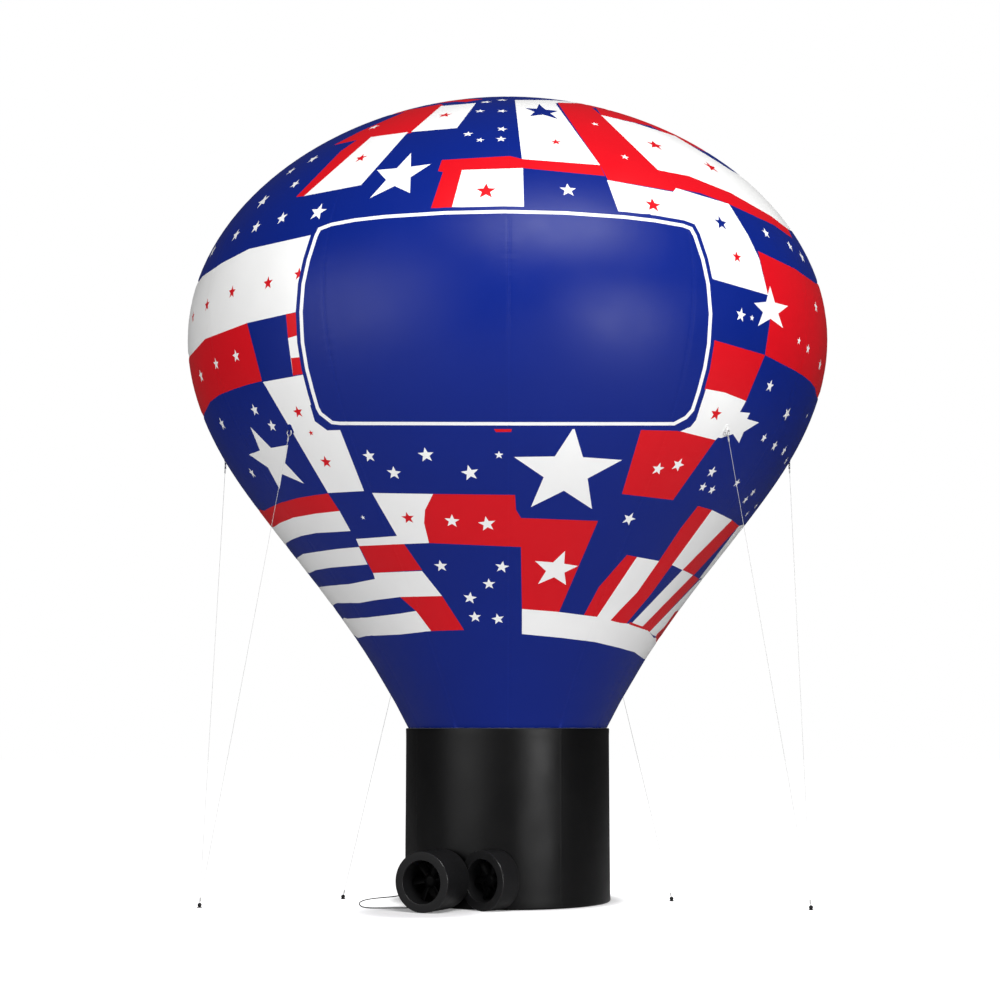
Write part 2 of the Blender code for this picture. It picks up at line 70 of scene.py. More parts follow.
# Envelope: smooth bends through four places, each with its lean from the vertical
# and how far its tangent reaches below and above it
NECK_HEIGHT = 1.300
OUTLINE = (  # radius, height, lean, reach below, reach above, rows of the frame's solids above it
    (0.7635, NECK_HEIGHT, 26.8, 0.0, 0.875, 6),
    (2.023, 3.094, 36.1, 0.630, 0.261, 5),
    (2.4925, 4.280, 0.0, 0.524, 1.058, 9),
    (0.0, 6.165, -90.0, 1.227, 0.0, 0),
)
FINE_ROWS = 24
GORES = 12
RING_SPACING = 0.075
SECTOR_WIDTH = 0.085
SEAM_GROOVE = 0.0012
SEAM_SPREAD = 0.011
SEAM_COLUMNS = (0.0, -0.011, 0.011, -0.028, 0.028)

# Base drum
BASE_RADIUS = 0.782
BASE_FOOT_ROUND = 0.015
BASE_SHOULDER = 0.018
BASE_HEM_RADIUS = 0.700
FABRIC = 0.010
GAP = 0.0003

# Tethers
RING_ROW = 7
RING_RISE = 0.020
TETHERS = (  # name, azimuth, sideways shift, whether it is on a seam, anchor, colour of the patch
    ("front_left", -45.0, 0.056, False, "front_left", "blue"),
    ("front_right", 45.0, -0.056, False, "front_right", "white"),
    ("side_left", -90.0, 0.0, True, "front_left", "blue"),
    ("side_right", 90.0, 0.0, True, "front_right", "blue"),
    ("rear_left", -165.0, 0.049, False, "rear_left", "blue"),
    ("rear_right", 165.0, -0.049, False, "rear_right", "blue"),
)
ANCHORS = (  # name, x, y
    ("front_left", -2.250, -0.580),
    ("front_right", 2.180, -0.760),
    ("rear_left", -1.260, 0.080),
    ("rear_right", 1.240, -0.090),
)
FACET_ANGLE = 6.0
PATCH_WIDTH = 0.050
PATCH_HEIGHT = 0.070
PATCH_THICKNESS = 0.0024
PATCH_LIFT = 0.0004
TAB_OUT = 0.0104
WEBBING_WIDTH = 0.024
WEBBING_THICKNESS = 0.0016
WEBBING_TOP = 0.027
WEBBING_BOTTOM = -0.020
RING_RADIUS = 0.022
RING_WIRE = 0.0035
LINE_RADIUS = 0.0015
ROPE_PITCH = 0.012
ANCHOR_BALL = 0.0155
ANCHOR_BALL_HEIGHT = 0.020
ANCHOR_FLANGE = 0.019

# Blowers: cups that lie on the ground, their mouths to the front left
BLOWERS = (  # name, mouth's x and y, azimuth of its axis, length, length of its air sleeve and of its motor
    ("left", -0.616, -0.979, -27.0, 0.328, 0.110, 0.147),
    ("middle", -0.191, -0.863, -43.0, 0.175, 0.090, 0.038),
)
BLOWER_RADIUS = 0.2145
BLOWER_AXIS_HEIGHT = BLOWER_RADIUS + GAP
BORE_RADIUS = 0.154
LIP_WIDTH = 0.0032
BACK_WALL = 0.012
OUTLET_RADIUS = 0.100
SLEEVE_RADIUS = 0.115
MOTOR_RADIUS = 0.050
VANE_LOW = 0.003
VANE_HIGH = 0.0274
SHAFT_LENGTH = 0.024
FAN_GAP = 0.006
HUB_RADIUS = 0.052
HUB_HEIGHT = 0.045
BLADES = 6
BLADE_TIP = 0.146
VANES = 4

# Power lead
LEAD_RADIUS = 0.004
LEAD_FLOOR = 0.0042
LEAD_SIDES = 36
GLAND_DEPTH = 0.248
GLAND_ANGLE = 225.0
GLAND_LENGTH = 0.026
LEAD_BEND = (-0.0116, 0.0049, -0.0075)
LEAD_LANDING = (-0.720, -0.648, 0.0077)
LEAD_ROUTE = (  # x, y, on the ground from the foot of the drop to the coil
    (-0.780, -0.634),
    (-0.850, -0.634),
    (-0.930, -0.645),
    (-1.005, -0.635),
    (-1.058, -0.570),
    (-1.087, -0.455),
    (-1.104, -0.320),
    (-1.107, -0.190),
    (-1.090, -0.060),
    (-1.048, 0.050),
    (-0.980, 0.145),
    (-0.905, 0.222),
    (-0.853, 0.310),
    (-0.815, 0.420),
    (-0.765, 0.530),
    (-0.694, 0.635),
    (-0.610, 0.720),
)
COIL_CENTRE = (-0.500, 0.900)
COIL_ENTRY_ANGLE = 315.0
COIL_EXIT_ANGLE = 100.0
COIL_INNER = 0.0356
COIL_OUTER = 0.0604
COIL_BESIDE = 0.0688
COIL_LAYER = 0.0082
COIL_LAYER_TURNS = 3
COIL_LEAD_IN = 0.050
TAIL_LENGTH = 0.060
PLUG_RADIUS = 0.016
PLUG_LENGTH = 0.040
BOOT_LENGTH = 0.022
BOOT_RADIUS = 0.0055
PIN_RADIUS = 0.0024
PIN_LENGTH = 0.019
PIN_SPACING = 0.019

# Printed areas, as corners in the photograph's pixels, each over the ones before it
AREAS = (
    ("red", (296, 197), (305, 196), (371, 137), (357, 140), (341, 151)),
    ("red", (334, 145), (361, 131), (409, 110), (441, 104), (445, 107), (411, 133), (371, 139), (357, 140)),
    ("white", (304, 196), (361, 185), (408, 132), (371, 137)),
    ("white", (411, 132), (457, 128), (476, 103), (441, 106)),
    ("red", (464, 100), (483, 97), (483, 99), (466, 102)),
    ("red", (442, 160), (510, 156), (522, 159), (600, 165), (605, 176), (523, 168), (462, 170),
     (452, 208), (431, 208), (443, 172), (438, 171)),
    ("white", (462, 170), (523, 168), (524, 208), (452, 207)),
    ("white", (515, 100), (553, 100), (600, 165), (522, 159)),
    ("red", (553, 96), (580, 98), (601, 115), (658, 170), (677, 193), (673, 191), (608, 180), (600, 165)),
    ("red", (596, 108), (640, 116), (700, 144), (701, 150), (650, 126), (601, 115)),
    ("white", (601, 115), (635, 123), (675, 136), (710, 157), (756, 186), (792, 226), (788, 229),
     (771, 216), (731, 193), (689, 176), (658, 170)),
    ("red", (658, 170), (689, 176), (731, 193), (771, 216), (788, 229), (792, 238), (774, 225),
     (729, 204), (700, 193), (675, 188), (677, 193)),
    ("white", (607, 180), (673, 192), (676, 188), (729, 204), (748, 235), (759, 258), (768, 295),
     (713, 279), (690, 240), (650, 214), (619, 213)),
    ("red", (758, 251), (795, 269), (819, 286), (834, 300), (836, 350), (826, 404), (817.5, 401), (815.2, 388),
     (810.4, 381.5), (803, 375.5), (794, 370), (765, 355), (770, 321), (768, 295)),
    ("red", (710, 339), (765, 355), (746, 401), (700, 388)),
    ("white", (706, 389), (724.5, 392.5), (746, 401), (740, 412), (750, 413), (747, 419), (759, 422.5),
     (743.6, 432), (739, 443), (733, 434), (721, 438), (718, 437.5), (715.5, 440), (679, 431), (690.5, 427),
     (696, 420)),
    ("white", (184, 292), (196, 281), (222, 263), (249, 249), (320, 233), (316, 290), (296, 312), (247, 323),
     (205, 339), (190, 356), (178, 362), (176, 320)),
    ("red", (180, 368), (190, 356), (205, 339), (247, 323), (262, 381), (248, 384.5), (234, 389), (219, 395),
     (210, 402), (204, 414), (196, 420), (184, 396)),
    ("red", (286, 314.2), (312, 309.5), (312, 331), (288, 338.2)),
    ("white", (288, 338.2), (312, 331), (316, 372), (293, 375.5)),
    ("red", (291, 358), (312, 356), (316, 372), (293, 375.5)),
    ("white", (263, 382), (318, 372), (330, 412), (338.5, 426), (364, 491), (328, 493)),
    ("white", (250.5, 427), (271, 448), (288, 445), (285, 463), (304, 483.6), (282, 474), (279.5, 489),
     (268, 467.5), (249, 454.6), (260, 450.5)),
    ("red", (256, 514), (264, 511), (269, 508), (280, 503), (298, 498), (316, 495), (328, 493.5), (339.5, 511),
     (316, 513.6), (294, 517.5), (280, 523), (274, 527), (262, 533)),
    ("white", (262, 533), (274, 527), (280, 523), (294, 517.5), (316, 513.6), (339.5, 511), (350.5, 531),
     (335, 532), (316, 533), (301, 536), (292, 539.5), (286, 543), (276, 549)),
    ("white", (288, 561), (297, 558), (303, 554), (316, 552), (337, 549), (359, 547), (367.5, 564.5),
     (350, 566), (332, 567.5), (316, 570), (309.5, 573), (300, 578)),
    ("white", (310, 589), (320, 587), (328, 586), (350, 584), (375, 579), (373, 573), (422, 571), (442, 596),
     (400, 597), (376, 600), (359, 603), (337, 603), (333, 605), (322, 610)),
    ("white", (334, 621), (343, 619), (367.5, 617.5), (400, 613.6), (416, 611), (431, 631), (400, 634.5),
     (366, 636), (358, 638), (347, 643)),
    ("red", (400, 597), (442, 596), (464, 630), (431, 631), (416, 611)),
    ("red", (359, 546), (404, 544), (422, 570), (373, 573)),
    ("white", (372, 493), (433, 494), (425, 510), (424, 523), (429, 543), (404, 544), (359, 546),
     (356, 539), (397, 536)),
    ("red", (433, 494), (515, 495), (516, 510), (521, 518), (598, 521), (559, 612), (522, 609),
     (521, 547), (429, 543), (424, 523), (425, 510)),
    ("red", (494, 429), (512, 429), (511, 432), (496, 432)),
    ("red", (641, 430), (679, 431), (715.5, 440), (673, 500), (622, 494)),
    ("red", (627, 555), (637, 557), (597, 617), (584, 615), (599, 587)),
    ("white", (637, 557), (659, 561), (637, 592.5), (620, 610), (610, 621), (597, 617)),
    ("red", (698, 506), (712, 510), (672, 565), (651, 594), (626, 624), (610, 621), (620, 610), (637, 592.5),
     (659, 561), (681, 528)),
    ("white", (712, 510), (732, 520), (682.5, 570), (672, 565)),
    ("red", (732, 520), (739, 526), (694, 575), (682.5, 570)),
    ("white", (739, 526), (752, 534), (724, 572), (699, 579)),
    ("white", (682.5, 570), (693, 575), (641, 628), (631, 624)),
    ("red", (693, 575), (699, 579), (649.5, 632), (641, 628)),
    ("white", (699.5, 580), (706, 588), (690, 612), (668, 640), (656, 638), (649.5, 632)),
    ("red", (675, 612), (684, 618), (664, 648), (654, 641), (657, 634), (665, 626)),
    ("white", (522, 609), (559, 612), (597, 617), (620, 623), (631, 624), (641, 628), (649.5, 632), (656, 641),
     (662, 650), (652, 666), (644, 659), (634, 652), (620, 648), (595, 642), (563, 638), (522, 634)),
    ("red", (630, 622), (648, 628.5), (647, 630.5), (629, 624.3)),
    ("blue", (310, 405), (314.8, 421.2), (327.2, 430.4), (341, 430), (345, 424), (320, 405)),
    ("blue", (700, 400), (697.2, 416.9), (693.7, 422.6), (685.1, 429.3), (679.4, 431.6), (668, 427), (690, 400)),
)
BIG_STARS = (  # colour and its five tips in order
    ("white", (411, 153), (431, 164), (410, 193), (370, 198), (377, 170)),
    ("blue", (525, 108), (539, 104), (558, 111), (558, 119), (530, 116)),
    ("white", (574, 427), (622, 460), (592, 509), (531, 507), (514, 457)),
    ("white", (565, 551), (578, 566), (566, 585), (538, 584), (535, 561)),
    ("white", (770, 286), (788, 306), (783, 328), (758, 326), (754, 303)),
)
STARS = (  # colour, then pixel x, pixel y, radius in pixels and tilt of each
    ("white", (318, 212, 9.5, 10), (282, 218, 7, -8), (256, 227, 7, 5), (236, 235, 7, 0), (313, 159, 7, 12),
     (291, 171, 6, 0), (295, 184, 6, 20), (263, 201, 9, -15), (374, 127, 6, 0), (213, 251, 8, 0)),
    ("white", (468, 134, 5, 0), (480, 140, 4, 10), (501, 139, 5, 0), (502, 129, 5, 15), (480, 111, 5, 0),
     (502, 111, 5, 20), (502, 100, 6, 0), (486, 102, 6, 10), (595, 124, 4, 0), (625, 157, 4, 15)),
    ("white", (568, 190, 7.5, 0), (766, 233, 6, 0), (790, 246, 6, 10), (802, 257, 7, 0), (808, 349, 5, 0),
     (799, 341, 4, 0), (816, 307, 6, 0), (820, 365, 6, 0), (741, 315, 6.5, 5), (752, 318, 3, 0)),
    ("white", (770, 386, 6, 0), (787, 414, 7, 20), (807, 416, 3, 0), (764, 438, 5, 10), (774.5, 446, 6, 0),
     (784, 451, 6, 0), (786, 461, 5, 0), (712, 472, 6, 0), (703, 487, 5, 0), (712, 490, 5, 10), (737, 483, 5, 0),
     (753, 492.5, 5, 0), (745.5, 500, 5, 0), (756, 506, 4, 0), (747, 514, 4, 0)),
    ("white", (236, 356, 6, 0), (216, 364, 6, 8), (201, 376, 7, 0), (254.6, 410, 6, 0), (272, 426, 6, 12),
     (252, 473, 6, 0), (222, 424, 7, 0), (363, 517.5, 2.5, 0)),
    ("white", (369, 456, 6.5, 0), (394, 473, 7, 10), (426, 455, 7.5, 0), (470, 473, 8, -8), (499, 455, 4, 0),
     (452, 521, 7, 8), (487, 524, 8, -6), (441, 566, 6.5, 0), (502, 567, 6.5, 10), (489, 584, 6, 0),
     (470, 598, 6.5, 12), (475, 617, 6, 0), (498, 619, 6, -10)),
    ("white", (658, 469, 6.5, 0), (678, 465, 7, 12), (629, 519, 7, 15)),
    ("red", (361, 158, 6.5, 0), (445, 115, 7, 0), (556, 142, 5, 0), (486, 191, 9, 0), (653, 205, 8, 5),
     (737, 257, 6, 0), (655, 145, 9, 10), (711, 167, 9, 0), (716, 414, 7, 0)),
    ("blue", (721, 223, 8, 0)),
    ("red", (268, 283, 6.5, 0), (232, 292, 6.5, 5), (207, 305, 6.5, 0), (193, 317, 6.5, 0), (299, 274, 6, 0),
     (298, 412, 6, 0), (311, 433, 3, 0), (326, 462, 6.5, 10), (408, 518, 6.5, 0)),
)
PANEL = (  # middle of the sign panel's white line
    (319.5, 229), (316, 236), (308.4, 260), (303.2, 284), (301, 312), (302.4, 342), (306.6, 368),
    (312.8, 392), (317.5, 408), (320.5, 413.5), (332, 422.5), (340, 423.4), (510, 423.8), (674, 423.8),
    (686, 417.5), (692.5, 410), (698.4, 392), (704.8, 368), (708.8, 344), (710.6, 314), (708.1, 284),
    (703, 260), (695, 236), (691, 228.5), (683, 225.5), (655, 220.6), (625, 217.1), (565, 212.9), (505, 211.5),
    (445, 212.8), (385, 216.6), (355, 220), (331, 224.5),
)
PANEL_LINE = 3.3
PANEL_MARGIN = 5.3
STAR_WAIST = 0.42
EDGE_STEP = 4.0
EDGE_FACING = 0.08

# Floor whose glow to the camera is dimmed round the base and round the left blower, a painted shade there on top of
# the shadows the lamps cast: middle, and where the glow starts and ends
PAINTED_FLOOR_SHADE = (
    ((0.0, 0.0, 0.0), 0.78, 1.02),
    ((-0.62, -0.88, 0.0), 0.30, 0.75),
)

# Colours, linear
BLUE = (0.002, 0.014, 0.185)
RED = (0.620, 0.004, 0.011)
WHITE = (0.880, 0.880, 0.875)
BLACK = (0.002, 0.002, 0.0022)
FABRIC_SPECULAR = 0.19
PLASTIC_SPECULAR = 0.14


def clear_start():
    for thing in list(bpy.data.objects):
        if thing.name in ("Cube", "Light", "Camera"):
            bpy.data.objects.remove(thing, do_unlink=True)


def radial(azimuth):
    angle = math.radians(azimuth)
    return Vector((math.sin(angle), -math.cos(angle), 0.0))


def link(piece):
    bpy.context.scene.collection.objects.link(piece)
    return piece


# Camera at the photograph's viewing angle
def build_camera():
    data = bpy.data.cameras.new("camera")
    data.sensor_width = SENSOR * 1000
    data.lens = LENS * 1000
    data.clip_end = 400.0
    camera = link(bpy.data.objects.new("camera", data))
    camera.location = CAMERA_PLACE
    camera.rotation_euler = (math.radians(90.0 + CAMERA_PITCH), 0.0, 0.0)
    bpy.context.scene.camera = camera


# Ray through a pixel of the photograph
def pixel_ray(x, y):
    focal = LENS / SENSOR * FRAME_PIXELS
    pitch = math.radians(CAMERA_PITCH)
    across = (x - FRAME_PIXELS / 2) / focal
    up = (FRAME_PIXELS / 2 - y) / focal
    forward = Vector((0.0, math.cos(pitch), math.sin(pitch)))
    upward = Vector((0.0, -math.sin(pitch), math.cos(pitch)))
    return (forward + Vector((across, 0.0, 0.0)) + upward * up).normalized()


# Nodes of a material: a node of one kind, its inputs set or linked by name or number
def node(tree, kind, inputs=None, **settings):
    made = tree.nodes.new(kind)
    for name, value in settings.items():
        setattr(made, name, value)
    for name, value in (inputs or {}).items():
        if isinstance(value, bpy.types.NodeSocket):
            tree.links.new(value, made.inputs[name])
        else:
            made.inputs[name].default_value = value
    return made


def math_node(tree, operation, first, second=None, clamp=False):
    inputs = {0: first}
    if second is not None:
        inputs[1] = second
    return node(tree, "ShaderNodeMath", inputs, operation=operation, use_clamp=clamp).outputs[0]


def map_range(tree, value, low, high, to_low, to_high, smooth=False):
    inputs = {"Value": value, 1: low, 2: high, 3: to_low, 4: to_high}
    kind = "SMOOTHSTEP" if smooth else "LINEAR"
    return node(tree, "ShaderNodeMapRange", inputs, interpolation_type=kind).outputs["Result"]


def bump(tree, height, distance, strength=1.0, before=None):
    inputs = {"Height": height, "Distance": distance, "Strength": strength}
    if before is not None:
        inputs["Normal"] = before
    return node(tree, "ShaderNodeBump", inputs).outputs["Normal"]


def noise(tree, place, scale, detail=3.0):
    inputs = {"Vector": place, "Scale": scale, "Detail": detail}
    return node(tree, "ShaderNodeTexNoise", inputs).outputs["Fac"]


def new_material(name):
    material = bpy.data.materials.new(name)
    material.use_nodes = True
    tree = material.node_tree
    shader = tree.nodes["Principled BSDF"]
    return material, tree, shader


# Colour with a slow drift from a darker to a lighter tone
def drifting_colour(tree, colour, drift, amount):
    low = tuple(c * (1.0 - amount) for c in colour) + (1.0,)
    high = tuple(min(1.0, c * (1.0 + amount)) for c in colour) + (1.0,)
    mix = node(tree, "ShaderNodeMix", {"Factor": drift}, data_type="RGBA")
    mix.inputs["A"].default_value = low
    mix.inputs["B"].default_value = high
    return mix.outputs["Result"]


# Coated woven polyester: fine weave, felled seams with two rows of stitches, small puckers beside them
def fabric_material(name, colour, roughness, sheen, stitch_tone, puckers):
    material, tree, shader = new_material(name)
    cloth = node(tree, "ShaderNodeUVMap", uv_map="cloth").outputs["UV"]
    seam = node(tree, "ShaderNodeUVMap", uv_map="seam").outputs["UV"]
    place = node(tree, "ShaderNodeTexCoord").outputs["Object"]
    threads = []
    for direction in ("X", "Y"):
        wave = node(tree, "ShaderNodeTexWave", {"Vector": cloth, "Scale": 260.0, "Distortion": 0.4},
                    bands_direction=direction)
        threads.append(wave.outputs["Fac"])
    weave = math_node(tree, "MULTIPLY", threads[0], threads[1])
    parts = node(tree, "ShaderNodeSeparateXYZ", {"Vector": seam})
    distance = math_node(tree, "ABSOLUTE", parts.outputs["X"])
    along = parts.outputs["Y"]
    fell = map_range(tree, distance, 0.009, 0.011, 1.0, 0.0, smooth=True)
    row = math_node(tree, "PINGPONG", math_node(tree, "SUBTRACT", distance, 0.003), 0.0045)
    on_row = map_range(tree, row, 0.0, 0.0011, 1.0, 0.0, smooth=True)
    dash = math_node(tree, "SINE", math_node(tree, "MULTIPLY", along, 2.0 * math.pi / 0.007))
    stitch = math_node(tree, "MULTIPLY", math_node(tree, "MULTIPLY", on_row, fell),
                       map_range(tree, dash, -0.2, 0.3, 0.0, 1.0))
    near = map_range(tree, distance, 0.0, 0.110, 1.0, 0.0, smooth=True)
    stretched = node(tree, "ShaderNodeVectorMath", {0: seam, 1: (5.0, 26.0, 1.0)}, operation="MULTIPLY")
    pucker = math_node(tree, "MULTIPLY", noise(tree, stretched.outputs["Vector"], 1.0, 2.0), near)
    slack = noise(tree, place, 1.3, 2.0)
    normal = bump(tree, slack, 0.030, 0.25)
    if puckers:
        normal = bump(tree, pucker, puckers, 0.4, normal)
    normal = bump(tree, fell, 0.0010, 0.5, normal)
    normal = bump(tree, stitch, 0.0008, 0.8, normal)
    normal = bump(tree, weave, 0.0002, 0.35, normal)
    tone = drifting_colour(tree, colour, noise(tree, place, 2.0, 4.0), 0.05)
    thread = node(tree, "ShaderNodeMix", {"Factor": stitch}, data_type="RGBA")
    tree.links.new(tone, thread.inputs["A"])
    thread.inputs["B"].default_value = (*[min(1.0, c * stitch_tone) for c in colour], 1.0)
    tree.links.new(thread.outputs["Result"], shader.inputs["Base Color"])
    rough = map_range(tree, noise(tree, place, 3.1, 5.0), 0.3, 0.7, roughness - 0.04, roughness + 0.05)
    tree.links.new(rough, shader.inputs["Roughness"])
    tree.links.new(normal, shader.inputs["Normal"])
    shader.inputs["Sheen Weight"].default_value = sheen
    shader.inputs["Sheen Roughness"].default_value = 0.35
    shader.inputs["Specular IOR Level"].default_value = FABRIC_SPECULAR
    return material


# Moulded plastic with a fine grain and slightly polished high spots
def plastic_material(name, colour, roughness, grain=0.0002, specular=PLASTIC_SPECULAR):
    material, tree, shader = new_material(name)
    place = node(tree, "ShaderNodeTexCoord").outputs["Object"]
    fine = noise(tree, place, 900.0, 2.0)
    slow = noise(tree, place, 14.0, 4.0)
    tree.links.new(drifting_colour(tree, colour, slow, 0.12), shader.inputs["Base Color"])
    rough = map_range(tree, slow, 0.3, 0.7, roughness - 0.07, roughness + 0.07)
    tree.links.new(rough, shader.inputs["Roughness"])
    normal = bump(tree, slow, 0.001, 0.3)
    tree.links.new(bump(tree, fine, grain, 0.5, normal), shader.inputs["Normal"])
    shader.inputs["Specular IOR Level"].default_value = specular
    return material


# Plated steel, a little scuffed
def metal_material(name, colour, roughness):
    material, tree, shader = new_material(name)
    place = node(tree, "ShaderNodeTexCoord").outputs["Object"]
    scuffs = noise(tree, place, 220.0, 6.0)
    slow = noise(tree, place, 30.0, 3.0)
    tree.links.new(drifting_colour(tree, colour, slow, 0.10), shader.inputs["Base Color"])
    rough = map_range(tree, scuffs, 0.35, 0.65, roughness - 0.08, roughness + 0.12)
    tree.links.new(rough, shader.inputs["Roughness"])
    tree.links.new(bump(tree, scuffs, 0.0001, 0.4), shader.inputs["Normal"])
    shader.inputs["Metallic"].default_value = 1.0
    return material


# Spun polyester fibres
def rope_material(name, colour):
    material, tree, shader = new_material(name)
    place = node(tree, "ShaderNodeTexCoord").outputs["Object"]
    fibres = noise(tree, place, 700.0, 3.0)
    tree.links.new(drifting_colour(tree, colour, fibres, 0.08), shader.inputs["Base Color"])
    tree.links.new(bump(tree, fibres, 0.0004, 0.6), shader.inputs["Normal"])
    shader.inputs["Roughness"].default_value = 0.75
    shader.inputs["Sheen Weight"].default_value = 0.30
    return material


def make_materials():
    return {
        "blue": fabric_material("blue_fabric", BLUE, 0.37, 0.0, 1.6, 0.005),
        "red": fabric_material("red_fabric", RED, 0.37, 0.0, 1.2, 0.005),
        "white": fabric_material("white_fabric", WHITE, 0.37, 0.0, 0.9, 0.005),
        "black": fabric_material("black_fabric", BLACK, 0.34, 0.0, 2.0, 0.0),
        "housing": plastic_material("black_plastic", (0.009, 0.009, 0.0095), 0.46),
        "lip": plastic_material("polished_plastic", (0.012, 0.012, 0.012), 0.22, specular=0.6),
        "fan": plastic_material("fan_plastic", (0.002, 0.002, 0.0022), 0.50, specular=0.05),
        "rubber": plastic_material("lead_rubber", (0.014, 0.014, 0.015), 0.55, 0.0001),
        "motor": metal_material("motor_casing", (0.060, 0.060, 0.064), 0.42),
        "ring": metal_material("plated_steel", (0.560, 0.560, 0.570), 0.30),
        "pin": metal_material("plug_brass", (0.620, 0.480, 0.250), 0.28),
        "anchor": plastic_material("anchor_plastic", (0.016, 0.016, 0.017), 0.50),
        "rope": rope_material("pale_rope", (0.600, 0.600, 0.590)),
    }


# Shared shapes
def mesh_object(name, points, faces, material, smooth_angle=35.0):
    mesh = bpy.data.meshes.new(name)
    mesh.from_pydata([tuple(p) for p in points], [], faces)
    mesh.validate()
    mesh.shade_smooth()
    mesh.set_sharp_from_angle(angle=math.radians(smooth_angle))
    mesh.materials.append(material)
    return link(bpy.data.objects.new(name, mesh))


# Corners of an outline of (radius, height) points rounded, each by its own radius
def rounded(corners, closed=True, steps=5):
    points = []
    count = len(corners)
    for i, (x, y, radius) in enumerate(corners):
        here = Vector((x, y))
        if radius <= 0.0 or (not closed and i in (0, count - 1)):
            points.append(here)
            continue
        before = Vector(corners[i - 1][:2]) - here
        after = Vector(corners[(i + 1) % count][:2]) - here
        half = before.angle(after) / 2
        reach = min(radius / math.tan(half), before.length * 0.49, after.length * 0.49)
        start = here + before.normalized() * reach
        end = here + after.normalized() * reach
        for k in range(steps + 1):
            t = k / steps
            points.append(start * (1 - t) ** 2 + here * (2 * t * (1 - t)) + end * t**2)
    return [(p.x, p.y) for p in points]


# Points and faces of a shape turned about Z; a closed profile is a ring, an open one ends on the axis
def lathe(profile, steps, closed):
    points = []
    faces = []
    for step in range(steps):
        angle = 2 * math.pi * step / steps
        points += [(r * math.cos(angle), r * math.sin(angle), z) for r, z in profile]
    count = len(profile)
    for step in range(steps):
        here = step * count
        there = (step + 1) % steps * count
        for i in range(count if closed else count - 1):
            j = (i + 1) % count
            faces.append((here + i, there + i, there + j, here + j))
    return points, faces


def turned(name, profile, steps, material, matrix=Matrix.Identity(4), closed=True, smooth_angle=35.0):
    points, faces = lathe(profile, steps, closed)
    piece = mesh_object(name, points, faces, material, smooth_angle)
    tidy_mesh(piece.data)
    piece.data.transform(matrix)
    return piece


# Welds doubled points and turns all faces outwards
def tidy_mesh(mesh, distance=0.00001):
    bm = bmesh.new()
    bm.from_mesh(mesh)
    bmesh.ops.remove_doubles(bm, verts=bm.verts[:], dist=distance)
    bmesh.ops.recalc_face_normals(bm, faces=bm.faces[:])
    bm.to_mesh(mesh)
    bm.free()


def join(name, pieces):
    bpy.ops.object.select_all(action="DESELECT")
    for piece in pieces:
        piece.select_set(True)
    bpy.context.view_layer.objects.active = pieces[0]
    bpy.ops.object.join()
    pieces[0].name = name
    pieces[0].data.name = name
    return pieces[0]


# Tube along points; with lobes its section is that of a laid rope, twisted once in each pitch
def tube(name, points, radius, material, sides=12, lobes=0, pitch=1.0, taper=None):
    points = [Vector(p) for p in points]
    verts = []
    faces = []
    side = None
    run = 0.0
    for i, here in enumerate(points):
        before = points[max(i - 1, 0)]
        after = points[min(i + 1, len(points) - 1)]
        along = (after - before).normalized()
        if side is None:
            side = along.orthogonal().normalized()
        side = (side - along * side.dot(along)).normalized()
        other = along.cross(side)
        run += (here - before).length
        size = taper[i] if taper else radius
        for k in range(sides):
            angle = 2 * math.pi * k / sides
            lobe = 1.0
            if lobes:
                lobe = 0.86 + 0.14 * math.cos(lobes * angle)
                angle += 2 * math.pi * run / pitch
            verts.append(here + (side * math.cos(angle) + other * math.sin(angle)) * (size * lobe))
    for i in range(len(points) - 1):
        for k in range(sides):
            j = (k + 1) % sides
            faces.append((i * sides + k, i * sides + j, (i + 1) * sides + j, (i + 1) * sides + k))
    faces.append(tuple(reversed(range(sides))))
    last = (len(points) - 1) * sides
    faces.append(tuple(last + k for k in range(sides)))
    return mesh_object(name, verts, faces, material, 60.0)


def ring_points(radius, count, matrix):
    turns = [2 * math.pi * k / count for k in range(count + 1)]
    return [matrix @ Vector((radius * math.cos(a), radius * math.sin(a), 0.0)) for a in turns]


# Smooth curve through points, with points about a step apart
def smooth_route(points, step):
    ends = [points[0] * 2 - points[1]] + list(points) + [points[-1] * 2 - points[-2]]
    fine = []
    for a, b, c, d in zip(ends, ends[1:], ends[2:], ends[3:]):
        for k in range(20):
            t = k / 20
            spot = (
                b * 2
                + (c - a) * t
                + (a * 2 - b * 5 + c * 4 - d) * t**2
                + (b * 3 - a - c * 3 + d) * t**3
            ) * 0.5
            fine.append(spot)
    fine.append(points[-1])
    lengths = [0.0]
    for a, b in zip(fine, fine[1:]):
        lengths.append(lengths[-1] + (b - a).length)
    count = max(2, round(lengths[-1] / step))
    route = []
    at = 0
    for k in range(count + 1):
        want = lengths[-1] * k / count
        while at < len(fine) - 2 and lengths[at + 1] < want:
            at += 1
        span = lengths[at + 1] - lengths[at]
        route.append(fine[at].lerp(fine[at + 1], (want - lengths[at]) / span))
    return route


# Matrix that carries +Z to a blower's axis, at its mouth
def blower_matrix(x, y, azimuth):
    place = Matrix.Translation((x, y, BLOWER_AXIS_HEIGHT))
    return place @ Matrix.Rotation(math.radians(azimuth), 4, "Z") @ Matrix.Rotation(math.pi / 2, 4, "X")


# Power lead, its gland, its coil and its plug
def coil_side(angle, radius, height):
    turn = math.radians(angle)
    x, y = COIL_CENTRE
    return Vector((x + radius * math.cos(turn), y + radius * math.sin(turn), height))


def coil_tangent(angle):
    turn = math.radians(angle + 90.0)
    return Vector((math.cos(turn), math.sin(turn), 0.0))


